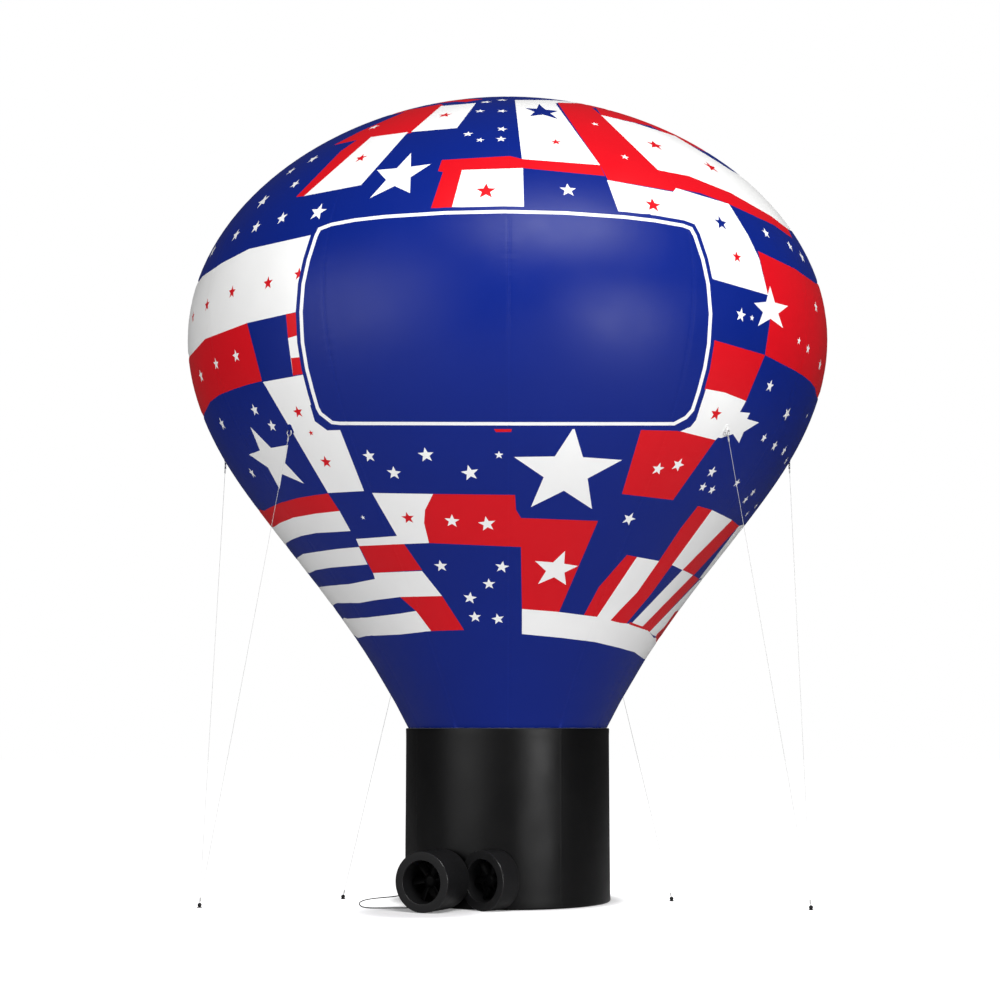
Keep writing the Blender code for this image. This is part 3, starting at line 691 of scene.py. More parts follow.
# Turns of the coil: inwards on the ground, up at the middle, and outwards on the lower turns
def coil_turns():
    turns = 360.0 * COIL_LAYER_TURNS
    low = LEAD_FLOOR
    high = LEAD_FLOOR + COIL_LAYER
    tail = high + GAP
    stages = (  # angle, radius and height at its end
        (180.0, COIL_OUTER, low),
        (turns, COIL_INNER, low),
        (90.0, COIL_INNER, high),
        (turns, COIL_OUTER, high),
    )
    angle = COIL_ENTRY_ANGLE
    radius = COIL_BESIDE
    height = low
    used = sum(stage[0] for stage in stages)
    rest = (COIL_EXIT_ANGLE - angle - used) % 360.0
    points = []
    for sweep, end_radius, end_height in (*stages, (rest, COIL_BESIDE, tail)):
        count = max(4, round(sweep / 10.0))
        for k in range(1, count + 1):
            t = k / count
            eased = t if sweep == turns else t * t * (3 - 2 * t)
            points.append(coil_side(angle + sweep * t, radius + (end_radius - radius) * eased,
                                    height + (end_height - height) * eased))
        angle += sweep
        radius = end_radius
        height = end_height
    return points


def gland_matrix():
    x, y, azimuth = BLOWERS[0][1:4]
    flat = BLOWER_RADIUS * math.cos(math.pi / LEAD_SIDES)
    around = Matrix.Rotation(math.radians(GLAND_ANGLE), 4, "Z")
    seat = Matrix.Translation((flat + GAP, 0.0, -GLAND_DEPTH))
    return blower_matrix(x, y, azimuth) @ around @ seat @ Matrix.Rotation(math.pi / 2, 4, "Y")


def build_lead(materials):
    gland = gland_matrix()
    out = gland.to_3x3().col[2].normalized()
    start = gland.translation + out * (GLAND_LENGTH + GAP)
    straight = start + out * LEAD_RADIUS * 2
    drop = [straight, straight + Vector(LEAD_BEND), Vector(LEAD_LANDING)]
    ground = [Vector((x, y, LEAD_FLOOR)) for x, y in LEAD_ROUTE]
    entry = coil_side(COIL_ENTRY_ANGLE, COIL_BESIDE, LEAD_FLOOR)
    lead_in = entry - coil_tangent(COIL_ENTRY_ANGLE) * COIL_LEAD_IN
    coil = coil_turns()
    away = coil_tangent(COIL_EXIT_ANGLE)
    tail_end = coil[-1] + away * TAIL_LENGTH
    tail_end.z = PLUG_RADIUS + GAP
    tail_middle = coil[-1].lerp(tail_end, 0.5)
    points = [start] + smooth_route(drop + ground + [lead_in, entry], 0.016) + coil + [tail_middle, tail_end]
    curve = bpy.data.curves.new("power_cord", "CURVE")
    curve.dimensions = "3D"
    curve.bevel_depth = LEAD_RADIUS
    curve.bevel_resolution = 4
    curve.use_fill_caps = True
    line = curve.splines.new("POLY")
    line.points.add(len(points) - 1)
    for slot, point in zip(line.points, points):
        slot.co = (*point, 1.0)
    curve.materials.append(materials["rubber"])
    cord = link(bpy.data.objects.new("power_cord", curve))
    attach(cord, "inflatable")
    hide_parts("power_lead", "power_lead_coil", "power_lead_tail")
    plug = build_plug(tail_end + away * GAP, away, materials)
    build_gland(gland, materials)


# Hexagonal nut and a tapered strain relief with slots around it
def build_gland(matrix, materials):
    nut = [(0.011, 0.0, 0.0), (0.011, 0.007, 0.0006), (0.0085, 0.0085, 0.0006), (0.0, 0.0085, 0.0)]
    body = turned("gland_nut", rounded([(0.0, 0.0, 0.0)] + nut, closed=False), 6, materials["rubber"],
                  closed=False, smooth_angle=20.0)
    profile = [(0.0, 0.008), (0.0088, 0.008)]
    slots = 5
    for k in range(slots):
        low = 0.009 + 0.0034 * k
        radius = 0.0086 - 0.00055 * k
        profile += [(radius, low), (radius, low + 0.0020), (radius - 0.0012, low + 0.0022),
                    (radius - 0.0012, low + 0.0032)]
    profile += [(LEAD_RADIUS * 1.5, GLAND_LENGTH - 0.0004), (LEAD_RADIUS * 1.1, GLAND_LENGTH), (0.0, GLAND_LENGTH)]
    relief = turned("gland_relief", profile, 32, materials["rubber"], closed=False)
    gland = join("cord_gland", [body, relief])
    gland.data.transform(matrix)
    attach(gland, "inflatable")
    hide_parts("lead_gland")


def build_plug(back, away, materials):
    side = away.cross(Vector((0.0, 0.0, 1.0))).normalized()
    frame = Matrix((side, Vector((0.0, 0.0, 1.0)), away)).transposed().to_4x4()
    frame.translation = back
    front = BOOT_LENGTH + PLUG_LENGTH
    corners = [(0.0, 0.0, 0.0), (BOOT_RADIUS, 0.0, 0.0008)]
    for k in range(4):
        low = 0.0035 + 0.0042 * k
        radius = BOOT_RADIUS + 0.0004 * (k + 1)
        corners += [(radius, low, 0.0), (radius, low + 0.0022, 0.0), (radius - 0.0010, low + 0.0024, 0.0),
                    (radius - 0.0010, low + 0.0040, 0.0)]
    corners += [
        (BOOT_RADIUS + 0.003, BOOT_LENGTH - 0.001, 0.001),
        (PLUG_RADIUS * 0.80, BOOT_LENGTH + 0.005, 0.004),
        (PLUG_RADIUS * 0.88, BOOT_LENGTH + 0.020, 0.004),
        (PLUG_RADIUS, front - 0.010, 0.002),
        (PLUG_RADIUS, front, 0.0015),
        (0.0, front, 0.0),
    ]
    shell = turned("plug_shell", rounded(corners, closed=False), 48, materials["rubber"], closed=False)
    parts = [shell]
    for offset in (-PIN_SPACING / 2, PIN_SPACING / 2):
        pin = [(0.0, front - 0.002, 0.0), (PIN_RADIUS, front - 0.002, 0.0),
               (PIN_RADIUS, front + PIN_LENGTH - 0.0002, 0.0014), (0.0, front + PIN_LENGTH - 0.0002, 0.0)]
        parts.append(turned("plug_pin", rounded(pin, closed=False), 20, materials["pin"],
                            Matrix.Translation((offset, 0.0, 0.0)), closed=False))
    plug = join("cord_plug", parts)
    plug.data.transform(frame)
    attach(plug, "inflatable")
    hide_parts("power_plug")
    return plug


# Envelope outline as (radius, height) from the neck up, with a number of rows for each row of the solids
def outline_points(scale):
    points = []
    for lower, upper in zip(OUTLINE, OUTLINE[1:]):
        start, end = Vector(lower[:2]), Vector(upper[:2])
        first, last = [Vector((math.sin(math.radians(p[2])), math.cos(math.radians(p[2])))) for p in (lower, upper)]
        handles = (start, start + first * lower[4], end - last * upper[3], end)
        rows = lower[5] * scale
        for row in range(rows):
            t = row / rows
            weights = ((1 - t) ** 3, 3 * (1 - t) ** 2 * t, 3 * (1 - t) * t**2, t**3)
            spot = sum((h * w for h, w in zip(handles, weights)), Vector((0.0, 0.0)))
            points.append((spot.x, spot.y))
    points.append(OUTLINE[-1][:2])
    return points


# The envelope's surface, found by azimuth and by the distance run down from its top
class Surface:
    def __init__(self):
        places = np.array(outline_points(FINE_ROWS)[::-1])
        steps = np.hypot(*np.diff(places, axis=0).T)
        self.run = np.concatenate([[0.0], np.cumsum(steps)])
        self.radius = places[:, 0]
        self.height = places[:, 1]
        self.length = float(self.run[-1])

    def radius_at(self, run):
        return float(np.interp(run, self.run, self.radius))

    def point(self, azimuth, run, lift=0.0):
        low = np.interp(run - 0.002, self.run, self.radius), np.interp(run - 0.002, self.run, self.height)
        high = np.interp(run + 0.002, self.run, self.radius), np.interp(run + 0.002, self.run, self.height)
        along = Vector((high[0] - low[0], high[1] - low[1])).normalized()
        radius = float(np.interp(run, self.run, self.radius)) - along.y * lift
        height = float(np.interp(run, self.run, self.height)) + along.x * lift
        return Vector((radius * math.sin(azimuth), -radius * math.cos(azimuth), height))

    def run_at_height(self, height):
        return float(np.interp(-height, -self.height, self.run))

    # Azimuth, run and how squarely the surface faces the camera at a pixel, or at the edge nearest to it
    def seen_at(self, x, y):
        origin = np.array(CAMERA_PLACE)
        ray = np.array(pixel_ray(x, y))
        reach = np.arange(11.0, 16.5, 0.02)
        spots = origin + reach[:, None] * ray
        out = np.hypot(spots[:, 0], spots[:, 1])
        edge = np.interp(spots[:, 2], self.height[::-1], self.radius[::-1])
        above = np.maximum(spots[:, 2] - self.height[0], 0.0)
        gap = out - edge + above
        inside = np.nonzero(gap < 0.0)[0]
        if len(inside):
            i = max(int(inside[0]), 1)
            share = gap[i - 1] / (gap[i - 1] - gap[i])
            spot = spots[i - 1] + (spots[i] - spots[i - 1]) * share
        else:
            spot = spots[int(np.argmin(gap))]
        azimuth = math.atan2(spot[0], -spot[1])
        run = self.run_at_height(min(spot[2], self.height[0]))
        normal = self.normal(azimuth, run)
        facing = abs(normal.dot(Vector(ray))) if len(inside) else 0.0
        return azimuth, run, facing

    def normal(self, azimuth, run, lift=None):
        lift = lift or (lambda a, s: 0.0)
        turn = 0.0005
        down = 0.002
        across = (self.point(azimuth + turn, run, lift(azimuth + turn, run))
                  - self.point(azimuth - turn, run, lift(azimuth - turn, run)))
        along = (self.point(azimuth, run + down, lift(azimuth, run + down))
                 - self.point(azimuth, max(run - down, 0.0), lift(azimuth, max(run - down, 0.0))))
        if across.length < 1e-9:
            return Vector((0.0, 0.0, 1.0))
        return along.cross(across).normalized()


# Flat chart of the envelope: distance down from the top, in the direction of the azimuth
def chart(azimuth, run):
    return Vector((run * math.sin(azimuth), -run * math.cos(azimuth)))


def from_chart(spot):
    return math.atan2(spot[0], -spot[1]), math.hypot(spot[0], spot[1])


# Print corner in the chart; at the photograph's edge of the envelope it runs straight on to the middle plane
def print_corner(surface, x, y):
    azimuth, run, facing = surface.seen_at(x, y)
    spot = chart(azimuth, run)
    if facing < EDGE_FACING:
        spot = Vector((math.copysign(run, azimuth), 0.0))
    return spot


def divided(corners, step):
    points = []
    for a, b in zip(corners, corners[1:] + corners[:1]):
        count = max(1, round(math.dist(a, b) / step))
        for k in range(count):
            t = k / count
            points.append((a[0] + (b[0] - a[0]) * t, a[1] + (b[1] - a[1]) * t))
    return points


def without_doubles(points, distance=0.002):
    kept = []
    for point in points:
        if not kept or (point - kept[-1]).length > distance:
            kept.append(point)
    while len(kept) > 1 and (kept[0] - kept[-1]).length <= distance:
        kept.pop()
    return kept


def printed_area(surface, corners):
    return without_doubles([print_corner(surface, x, y) for x, y in divided(list(corners), EDGE_STEP)])


# Star of five tips: its inner corners lie towards its middle, between the tips
def tipped_star(tips):
    middle = Vector((sum(x for x, y in tips) / 5, sum(y for x, y in tips) / 5))
    corners = []
    for a, b in zip(tips, tips[1:] + tips[:1]):
        between = (Vector(a) + Vector(b)) / 2
        corners += [tuple(a), tuple(middle.lerp(between, STAR_WAIST * 1.236))]
    return corners


# Small star laid on the envelope round the place that a pixel shows
def small_star(surface, x, y, radius, tilt):
    azimuth, run, facing = surface.seen_at(x, y)
    focal = LENS / SENSOR * FRAME_PIXELS
    size = radius * -CAMERA_PLACE[1] / focal
    around = surface.radius_at(run)
    points = []
    for k in range(10):
        angle = math.radians(tilt + 36.0 * k)
        reach = size if k % 2 == 0 else size * STAR_WAIST
        points.append(chart(azimuth + reach * math.sin(angle) / around, run - reach * math.cos(angle)))
    return points


# Outline moved outwards by a distance, in pixels
def grown(corners, distance):
    middle_x = sum(x for x, y in corners) / len(corners)
    middle_y = sum(y for x, y in corners) / len(corners)
    points = []
    for i, here in enumerate(corners):
        here = Vector(here)
        before = (here - Vector(corners[i - 1])).normalized()
        after = (Vector(corners[(i + 1) % len(corners)]) - here).normalized()
        mean = (before + after).normalized()
        out = Vector((mean.y, -mean.x))
        if out.dot(here - Vector((middle_x, middle_y))) < 0:
            out = -out
        points.append(tuple(here + out * (distance / max(0.5, mean.dot(after)))))
    return points


# Every printed shape as (colour, chart outline), in painting order
def printed_shapes(surface):
    shapes = []
    for colour, *corners in AREAS:
        shapes.append((colour, printed_area(surface, corners)))
    for colour, *tips in BIG_STARS:
        shapes.append((colour, printed_area(surface, tipped_star(list(tips)))))
    for colour, *stars in STARS:
        for x, y, radius, tilt in stars:
            shapes.append((colour, small_star(surface, x, y, radius, tilt)))
    panel = list(PANEL)
    shapes.append(("blue", printed_area(surface, grown(panel, PANEL_MARGIN))))
    shapes.append(("white", printed_area(surface, grown(panel, PANEL_LINE / 2))))
    shapes.append(("blue", printed_area(surface, grown(panel, -PANEL_LINE / 2))))
    return shapes


# How far the seams draw the envelope in
def seam_lift(surface, azimuth, run):
    step = 2 * math.pi / GORES
    off = (azimuth + step / 2) % step - step / 2
    distance = off * surface.radius_at(run)
    return -SEAM_GROOVE * math.exp(-((distance / SEAM_SPREAD) ** 2))


# Grid of the envelope in the chart, closer beside the seams
def grid_points(surface):
    points = [Vector((0.0, 0.0))]
    rings = round(surface.length / RING_SPACING)
    columns = []
    for ring in range(1, rings + 1):
        run = surface.length * ring / rings
        around = surface.radius_at(run)
        count = GORES * max(1, round(2 * math.pi * around / GORES / SECTOR_WIDTH))
        points += [chart(2 * math.pi * (k + 0.5) / count, run) for k in range(count)]
        if around > 0.3:
            columns.append((run, around))
    seams = []
    for gore in range(GORES):
        azimuth = 2 * math.pi * gore / GORES
        for offset in SEAM_COLUMNS:
            first = len(points)
            points += [chart(azimuth + offset / around, run) for run, around in columns]
            if offset == 0.0:
                seams += [(first + k, first + k + 1) for k in range(len(columns) - 1)]
    return points, seams


# Which of the spots lie inside an outline
def inside(outline, spots):
    x, y = spots[:, 0], spots[:, 1]
    crossings = np.zeros(len(spots), bool)
    for a, b in zip(outline, outline[1:] + outline[:1]):
        spans = (a.y > y) != (b.y > y)
        if a.y != b.y:
            crossings ^= spans & (x < (b.x - a.x) * (y - a.y) / (b.y - a.y) + a.x)
    return crossings


# Colour of each triangle: that of the last printed shape over its middle
def triangle_colours(shapes, spots, triangles, slots):
    places = np.array([tuple(spot) for spot in spots])
    middles = places[np.array(triangles)].mean(axis=1)
    colours = np.zeros(len(triangles), int)
    for colour, outline in shapes:
        corners = np.array([tuple(spot) for spot in outline])
        near = np.all((middles >= corners.min(0)) & (middles <= corners.max(0)), axis=1)
        near = np.nonzero(near)[0]
        colours[near[inside(outline, middles[near])]] = slots.index(colour)
    return colours


def build_envelope(materials):
    surface = Surface()
    points, edges = grid_points(surface)
    front = printed_shapes(surface)
    shapes = front + [(colour, [-spot for spot in outline]) for colour, outline in front]
    for colour, outline in shapes:
        first = len(points)
        points += outline
        edges += [(first + k, first + (k + 1) % len(outline)) for k in range(len(outline))]
    spots, _, triangles, _, _, _ = delaunay_2d_cdt(points, edges, [], 0, 1e-6, True)
    slots = ("blue", "red", "white")
    lift = lambda azimuth, run: seam_lift(surface, azimuth, run)
    polar = [from_chart(spot) for spot in spots]
    places = [surface.point(azimuth, run, lift(azimuth, run)) for azimuth, run in polar]
    mesh = bpy.data.meshes.new("envelope_skin")
    mesh.from_pydata(places, [], [list(triangle) for triangle in triangles])
    for slot in slots:
        mesh.materials.append(materials[slot])
    mesh.polygons.foreach_set("material_index", triangle_colours(shapes, spots, triangles, slots))
    mesh.shade_smooth()
    cloth_maps(mesh, surface, polar)
    normals = [surface.normal(azimuth, run, lift) for azimuth, run in polar]
    mesh.normals_split_custom_set_from_vertices(normals)
    skin = link(bpy.data.objects.new("envelope_skin", mesh))
    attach(skin, "inflatable")
    gores = [f"envelope_gore_{number + 1:02d}" for number in range(GORES)]
    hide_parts("envelope_skirt", "envelope_crown", *gores)
    return surface


# Two maps in metres: across and along each gore, and from the nearest seam
def cloth_maps(mesh, surface, polar):
    cloth = mesh.uv_layers.new(name="cloth")
    seam = mesh.uv_layers.new(name="seam")
    step = 2 * math.pi / GORES
    for face in mesh.polygons:
        middle = sum((chart(*polar[v]) for v in face.vertices), Vector((0.0, 0.0)))
        gore = math.floor(from_chart(middle)[0] / step)
        centre = (gore + 0.5) * step
        for loop in face.loop_indices:
            azimuth, run = polar[mesh.loops[loop].vertex_index]
            off = (azimuth - centre + math.pi) % (2 * math.pi) - math.pi
            around = surface.radius_at(run)
            cloth.data[loop].uv = (off * around, run)
            seam.data[loop].uv = (max(0.0, (step / 2 - abs(off)) * around), run)


# Base drum of black fabric, open where the blowers pass through it
def base_profile():
    foot = BASE_FOOT_ROUND
    top = NECK_HEIGHT - GAP
    corners = [
        (BASE_RADIUS - BASE_SHOULDER, top, 0.0),
        (BASE_RADIUS, top - 0.001, BASE_SHOULDER),
        (BASE_RADIUS, 0.0, foot),
        (BASE_HEM_RADIUS, 0.0, 0.0),
        (BASE_HEM_RADIUS, FABRIC, 0.0),
        (BASE_RADIUS - FABRIC, FABRIC, foot - FABRIC),
        (BASE_RADIUS - FABRIC, top - 0.012, 0.010),
        (BASE_RADIUS - BASE_SHOULDER - FABRIC, top, 0.0),
    ]
    fine = []
    places = rounded(corners, closed=True, steps=6)
    for a, b in zip(places, places[1:] + places[:1]):
        count = max(1, round(math.dist(a, b) / 0.05))
        fine += [(a[0] + (b[0] - a[0]) * k / count, a[1] + (b[1] - a[1]) * k / count) for k in range(count)]
    return fine


# Soft unevenness of the drum's wall: slack folds that start at the blowers, and faint vertical ones
def drum_fold(azimuth, height):
    fold = 0.0
    for centre, reach, depth in ((-58.0, 26.0, 0.0035), (4.0, 20.0, 0.0030)):
        off = (azimuth - centre + 180.0) % 360.0 - 180.0
        wave = math.cos(math.radians(off * 14.0)) * math.exp(-((off / reach) ** 2))
        fold += depth * wave * math.exp(-(((height - 0.45) / 0.20) ** 2))
    upright = math.sin(math.radians(azimuth * 11.0 + 40.0)) * math.sin(math.pi * height / NECK_HEIGHT)
    return fold + 0.0003 * upright


def build_base(materials):
    steps = 240
    points, faces = lathe(base_profile(), steps, True)
    piece = mesh_object("base_skin", points, faces, materials["black"])
    tidy_mesh(piece.data)
    for vertex in piece.data.vertices:
        x, y, z = vertex.co
        azimuth = math.degrees(math.atan2(x, -y))
        if 0.06 < z < NECK_HEIGHT - 0.04:
            out = Vector((x, y, 0.0)).normalized()
            vertex.co += out * (drum_fold(azimuth, z) - 0.002)
    cutters = []
    for name, x, y, azimuth, length, sleeve, motor in BLOWERS:
        matrix = blower_matrix(x, y, azimuth)
        for radius, reach in ((BLOWER_RADIUS + 0.0008, length + GAP), (SLEEVE_RADIUS + 0.0008, length + 2 * sleeve)):
            profile = [(0.0, 0.05), (radius, 0.05), (radius, -reach), (0.0, -reach)]
            cutters.append(turned("cutter", profile, 96, materials["black"], matrix, closed=False))
    for cutter in cutters:
        cut = piece.modifiers.new("port", "BOOLEAN")
        cut.operation = "DIFFERENCE"
        cut.solver = "EXACT"
        cut.object = cutter
    graph = bpy.context.evaluated_depsgraph_get()
    cut_mesh = bpy.data.meshes.new_from_object(piece.evaluated_get(graph))
    piece.modifiers.clear()
    piece.data = cut_mesh
    for cutter in cutters:
        bpy.data.objects.remove(cutter, do_unlink=True)
    cut_mesh.shade_smooth()
    cut_mesh.set_sharp_from_angle(angle=math.radians(40.0))
    drum_maps(cut_mesh)
    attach(piece, "inflatable")
    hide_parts("base_wall_front", "base_wall_right", "base_wall_back", "base_wall_left")
    floor_radius = BASE_HEM_RADIUS - 2 * GAP
    corners = [(0.0, FABRIC, 0.0), (floor_radius, FABRIC, 0.002), (floor_radius, 0.0, 0.002), (0.0, 0.0, 0.0)]
    floor = turned("base_groundsheet", rounded(corners, closed=False), 96, materials["black"], closed=False)
    drum_maps(floor.data)
    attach(floor, "inflatable")
    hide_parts("base_floor")


# Maps of the drum in metres, its four seams a quarter turn apart
def drum_maps(mesh):
    cloth = mesh.uv_layers.new(name="cloth")
    seam = mesh.uv_layers.new(name="seam")
    quarter = math.pi / 2
    first = math.radians(30.0)
    for face in mesh.polygons:
        middle = math.atan2(face.center.x, -face.center.y)
        for loop in face.loop_indices:
            x, y, z = mesh.vertices[mesh.loops[loop].vertex_index].co
            azimuth = math.atan2(x, -y)
            azimuth += 2 * math.pi * round((middle - azimuth) / (2 * math.pi))
            off = (azimuth - first + quarter / 2) % quarter - quarter / 2
            cloth.data[loop].uv = (azimuth * BASE_RADIUS, z)
            seam.data[loop].uv = (abs(off) * BASE_RADIUS, z)


# Blowers: a cup with a rolled lip, a fan on a motor held by four vanes, and the sleeve into the base
def build_blower(name, x, y, azimuth, length, sleeve, motor, materials):
    matrix = blower_matrix(x, y, azimuth)
    build_housing(name, length, matrix, materials)
    build_sleeve(name, length, sleeve, matrix, materials)
    back = -length + BACK_WALL + GAP
    build_motor(name, back, motor, matrix, materials)
    build_fan(name, back + motor + FAN_GAP, matrix, materials)


def build_housing(name, length, matrix, materials):
    corners = [
        (BORE_RADIUS, 0.0, 0.003),
        (BLOWER_RADIUS, 0.0, 0.007),
        (BLOWER_RADIUS, -length, 0.014),
        (OUTLET_RADIUS, -length, 0.0015),
        (OUTLET_RADIUS, BACK_WALL - length, 0.002),
        (BORE_RADIUS, BACK_WALL - length, 0.006),
    ]
    housing = turned(f"blower_cup_{name}", rounded(corners, steps=6), 128, materials["housing"])
    polish_lips(housing.data, materials["lip"])
    housing.data.transform(matrix)
    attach(housing, "inflatable")
    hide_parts(f"blower_housing_{name}")


# The two edges of the mouth, worn smooth by handling
def polish_lips(mesh, material):
    mesh.materials.append(material)
    for face in mesh.polygons:
        x, y, z = face.center
        radius = math.hypot(x, y)
        worn = min(radius - BORE_RADIUS, BLOWER_RADIUS - radius) < LIP_WIDTH and z > -LIP_WIDTH
        face.material_index = 1 if worn and abs(face.normal.z) < 0.97 else 0


def build_sleeve(name, length, sleeve, matrix, materials):
    top = -length - GAP
    outer = [(SLEEVE_RADIUS - 0.0015 * math.sin(k * 1.7) ** 2, top - sleeve * k / 24) for k in range(25)]
    inner = [(r - 0.004, z) for r, z in reversed(outer)]
    piece = turned(f"air_duct_{name}", outer + inner, 72, materials["black"], closed=True)
    drum_maps(piece.data)
    piece.data.transform(matrix)
    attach(piece, "inflatable")
    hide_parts(f"air_sleeve_{name}")


def build_motor(name, back, length, matrix, materials):
    top = back + length
    corners = [(0.0, top + SHAFT_LENGTH, 0.0), (0.006, top + SHAFT_LENGTH, 0.001), (0.006, top, 0.0),
               (0.016, top, 0.0), (0.016, top - 0.003, 0.0), (MOTOR_RADIUS - 0.004, top - 0.004, 0.003)]
    fins = int((length - 0.010) / 0.0056)
    for k in range(fins):
        low = top - 0.009 - 0.0056 * k
        corners += [(MOTOR_RADIUS, low + 0.0030, 0.0008), (MOTOR_RADIUS, low, 0.0008),
                    (MOTOR_RADIUS - 0.004, low - 0.0004, 0.0005), (MOTOR_RADIUS - 0.004, low - 0.0020, 0.0005)]
    corners += [(MOTOR_RADIUS, back, 0.0), (0.0, back, 0.0)]
    casing = turned(f"motor_{name}", rounded(corners, closed=False, steps=3), 72, materials["motor"], closed=False)
    parts = [casing]
    flat = BORE_RADIUS - 0.001
    inner = MOTOR_RADIUS - 0.006
    for number in range(VANES):
        parts.append(build_vane(f"vane_{number}", inner, flat, back, materials["motor"]))
        turn = Matrix.Rotation(math.radians(5.0 + number * 360.0 / VANES), 4, "Z")
        parts[-1].data.transform(turn)
    motor = join(f"motor_mount_{name}", parts)
    motor.data.transform(matrix)
    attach(motor, "inflatable")
    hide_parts(f"blower_motor_{name}")


# Strut of an oval section from the motor out to the cup
def build_vane(name, inner, outer, back, material):
    low = back + VANE_LOW
    high = back + VANE_HIGH
    sides = 16
    points = []
    for radius, flare in ((inner, 1.25), (inner + 0.012, 1.0), (outer - 0.012, 1.0), (outer, 1.25)):
        for k in range(sides):
            angle = 2 * math.pi * k / sides
            points.append((radius, 0.003 * flare * math.cos(angle),
                           (low + high) / 2 + (high - low) / 2 * min(flare, 1.1) * math.sin(angle)))
    faces = [tuple(range(sides)), tuple(reversed(range(3 * sides, 4 * sides)))]
    for i in range(3):
        for k in range(sides):
            j = (k + 1) % sides
            faces.append((i * sides + j, i * sides + k, (i + 1) * sides + k, (i + 1) * sides + j))
    vane = mesh_object(name, points, faces, material)
    tidy_mesh(vane.data)
    return vane


def build_fan(name, back, matrix, materials):
    corners = [(0.0, HUB_HEIGHT, 0.0), (HUB_RADIUS * 0.62, HUB_HEIGHT - 0.002, 0.030),
               (HUB_RADIUS, HUB_HEIGHT * 0.55, 0.020), (HUB_RADIUS, 0.0, 0.002),
               (HUB_RADIUS - 0.006, 0.0, 0.001), (HUB_RADIUS - 0.008, 0.012, 0.002), (0.0066, 0.012, 0.001),
               (0.0066, SHAFT_LENGTH, 0.0), (0.0, SHAFT_LENGTH, 0.0)]
    parts = [turned(f"hub_{name}", rounded(corners, closed=False, steps=8), 72, materials["fan"], closed=False)]
    for number in range(BLADES):
        blade = build_blade(f"blade_{number}", materials["fan"])
        blade.data.transform(Matrix.Rotation(math.radians(number * 360.0 / BLADES), 4, "Z"))
        parts.append(blade)
    fan = join(f"fan_wheel_{name}", parts)
    fan.data.transform(matrix @ Matrix.Translation((0.0, 0.0, back)))
    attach(fan, f"fan_{name}")
    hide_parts(f"blower_fan_{name}")


# Twisted, cambered blade whose chord grows and whose pitch flattens towards its tip
def build_blade(name, material):
    inner = HUB_RADIUS * 0.9
    rows = 12
    ends = 10
    points = []
    for i in range(rows + 1):
        t = i / rows
        radius = inner + (BLADE_TIP - inner) * t
        chord = 0.044 + 0.016 * math.sin(math.pi * 0.62 * t)
        pitch = math.radians(43.0 - 14.0 * t)
        thick = 0.0032 - 0.0014 * t
        sweep = 0.010 * t * t
        for k in range(2 * ends):
            across = math.cos(math.pi * k / ends)
            side = 1.0 if k < ends else -1.0
            body = thick * math.sqrt(max(0.0, 1.0 - across * across)) * side
            camber = 0.005 * (1.0 - across * across)
            u = across * chord / 2 + sweep
            v = body / 1.0 + camber
            points.append((radius, u * math.cos(pitch) - v * math.sin(pitch),
                           HUB_HEIGHT * 0.45 + u * math.sin(pitch) + v * math.cos(pitch)))
    count = 2 * ends
    faces = [tuple(range(count)), tuple(reversed(range(rows * count, (rows + 1) * count)))]
    for i in range(rows):
        for k in range(count):
            j = (k + 1) % count
            faces.append((i * count + j, i * count + k, (i + 1) * count + k, (i + 1) * count + j))
    blade = mesh_object(name, points, faces, material, 50.0)
    tidy_mesh(blade.data)
    return blade


# Tethers: a sewn patch with a webbing loop and a steel ring, a laid rope, and its ground anchor
def tether_frame(azimuth, shift, on_seam):
    outline = outline_points(1)
    (r0, z0), (r1, z1) = outline[RING_ROW], outline[RING_ROW + 1]
    flat = 1.0 if on_seam else math.cos(math.radians(FACET_ANGLE / 2))
    out = radial(azimuth)
    low = out * (r0 * flat) + Vector((0.0, 0.0, z0))
    high = out * (r1 * flat) + Vector((0.0, 0.0, z1))
    up = (high - low).normalized()
    side = Vector((-out.y, out.x, 0.0))
    frame = Matrix((side, side.cross(up).normalized(), up)).transposed().to_4x4()
    frame.translation = (low + high) / 2 + side * shift + up * RING_RISE + Vector((0.0, 0.0, PATCH_LIFT))
    return frame


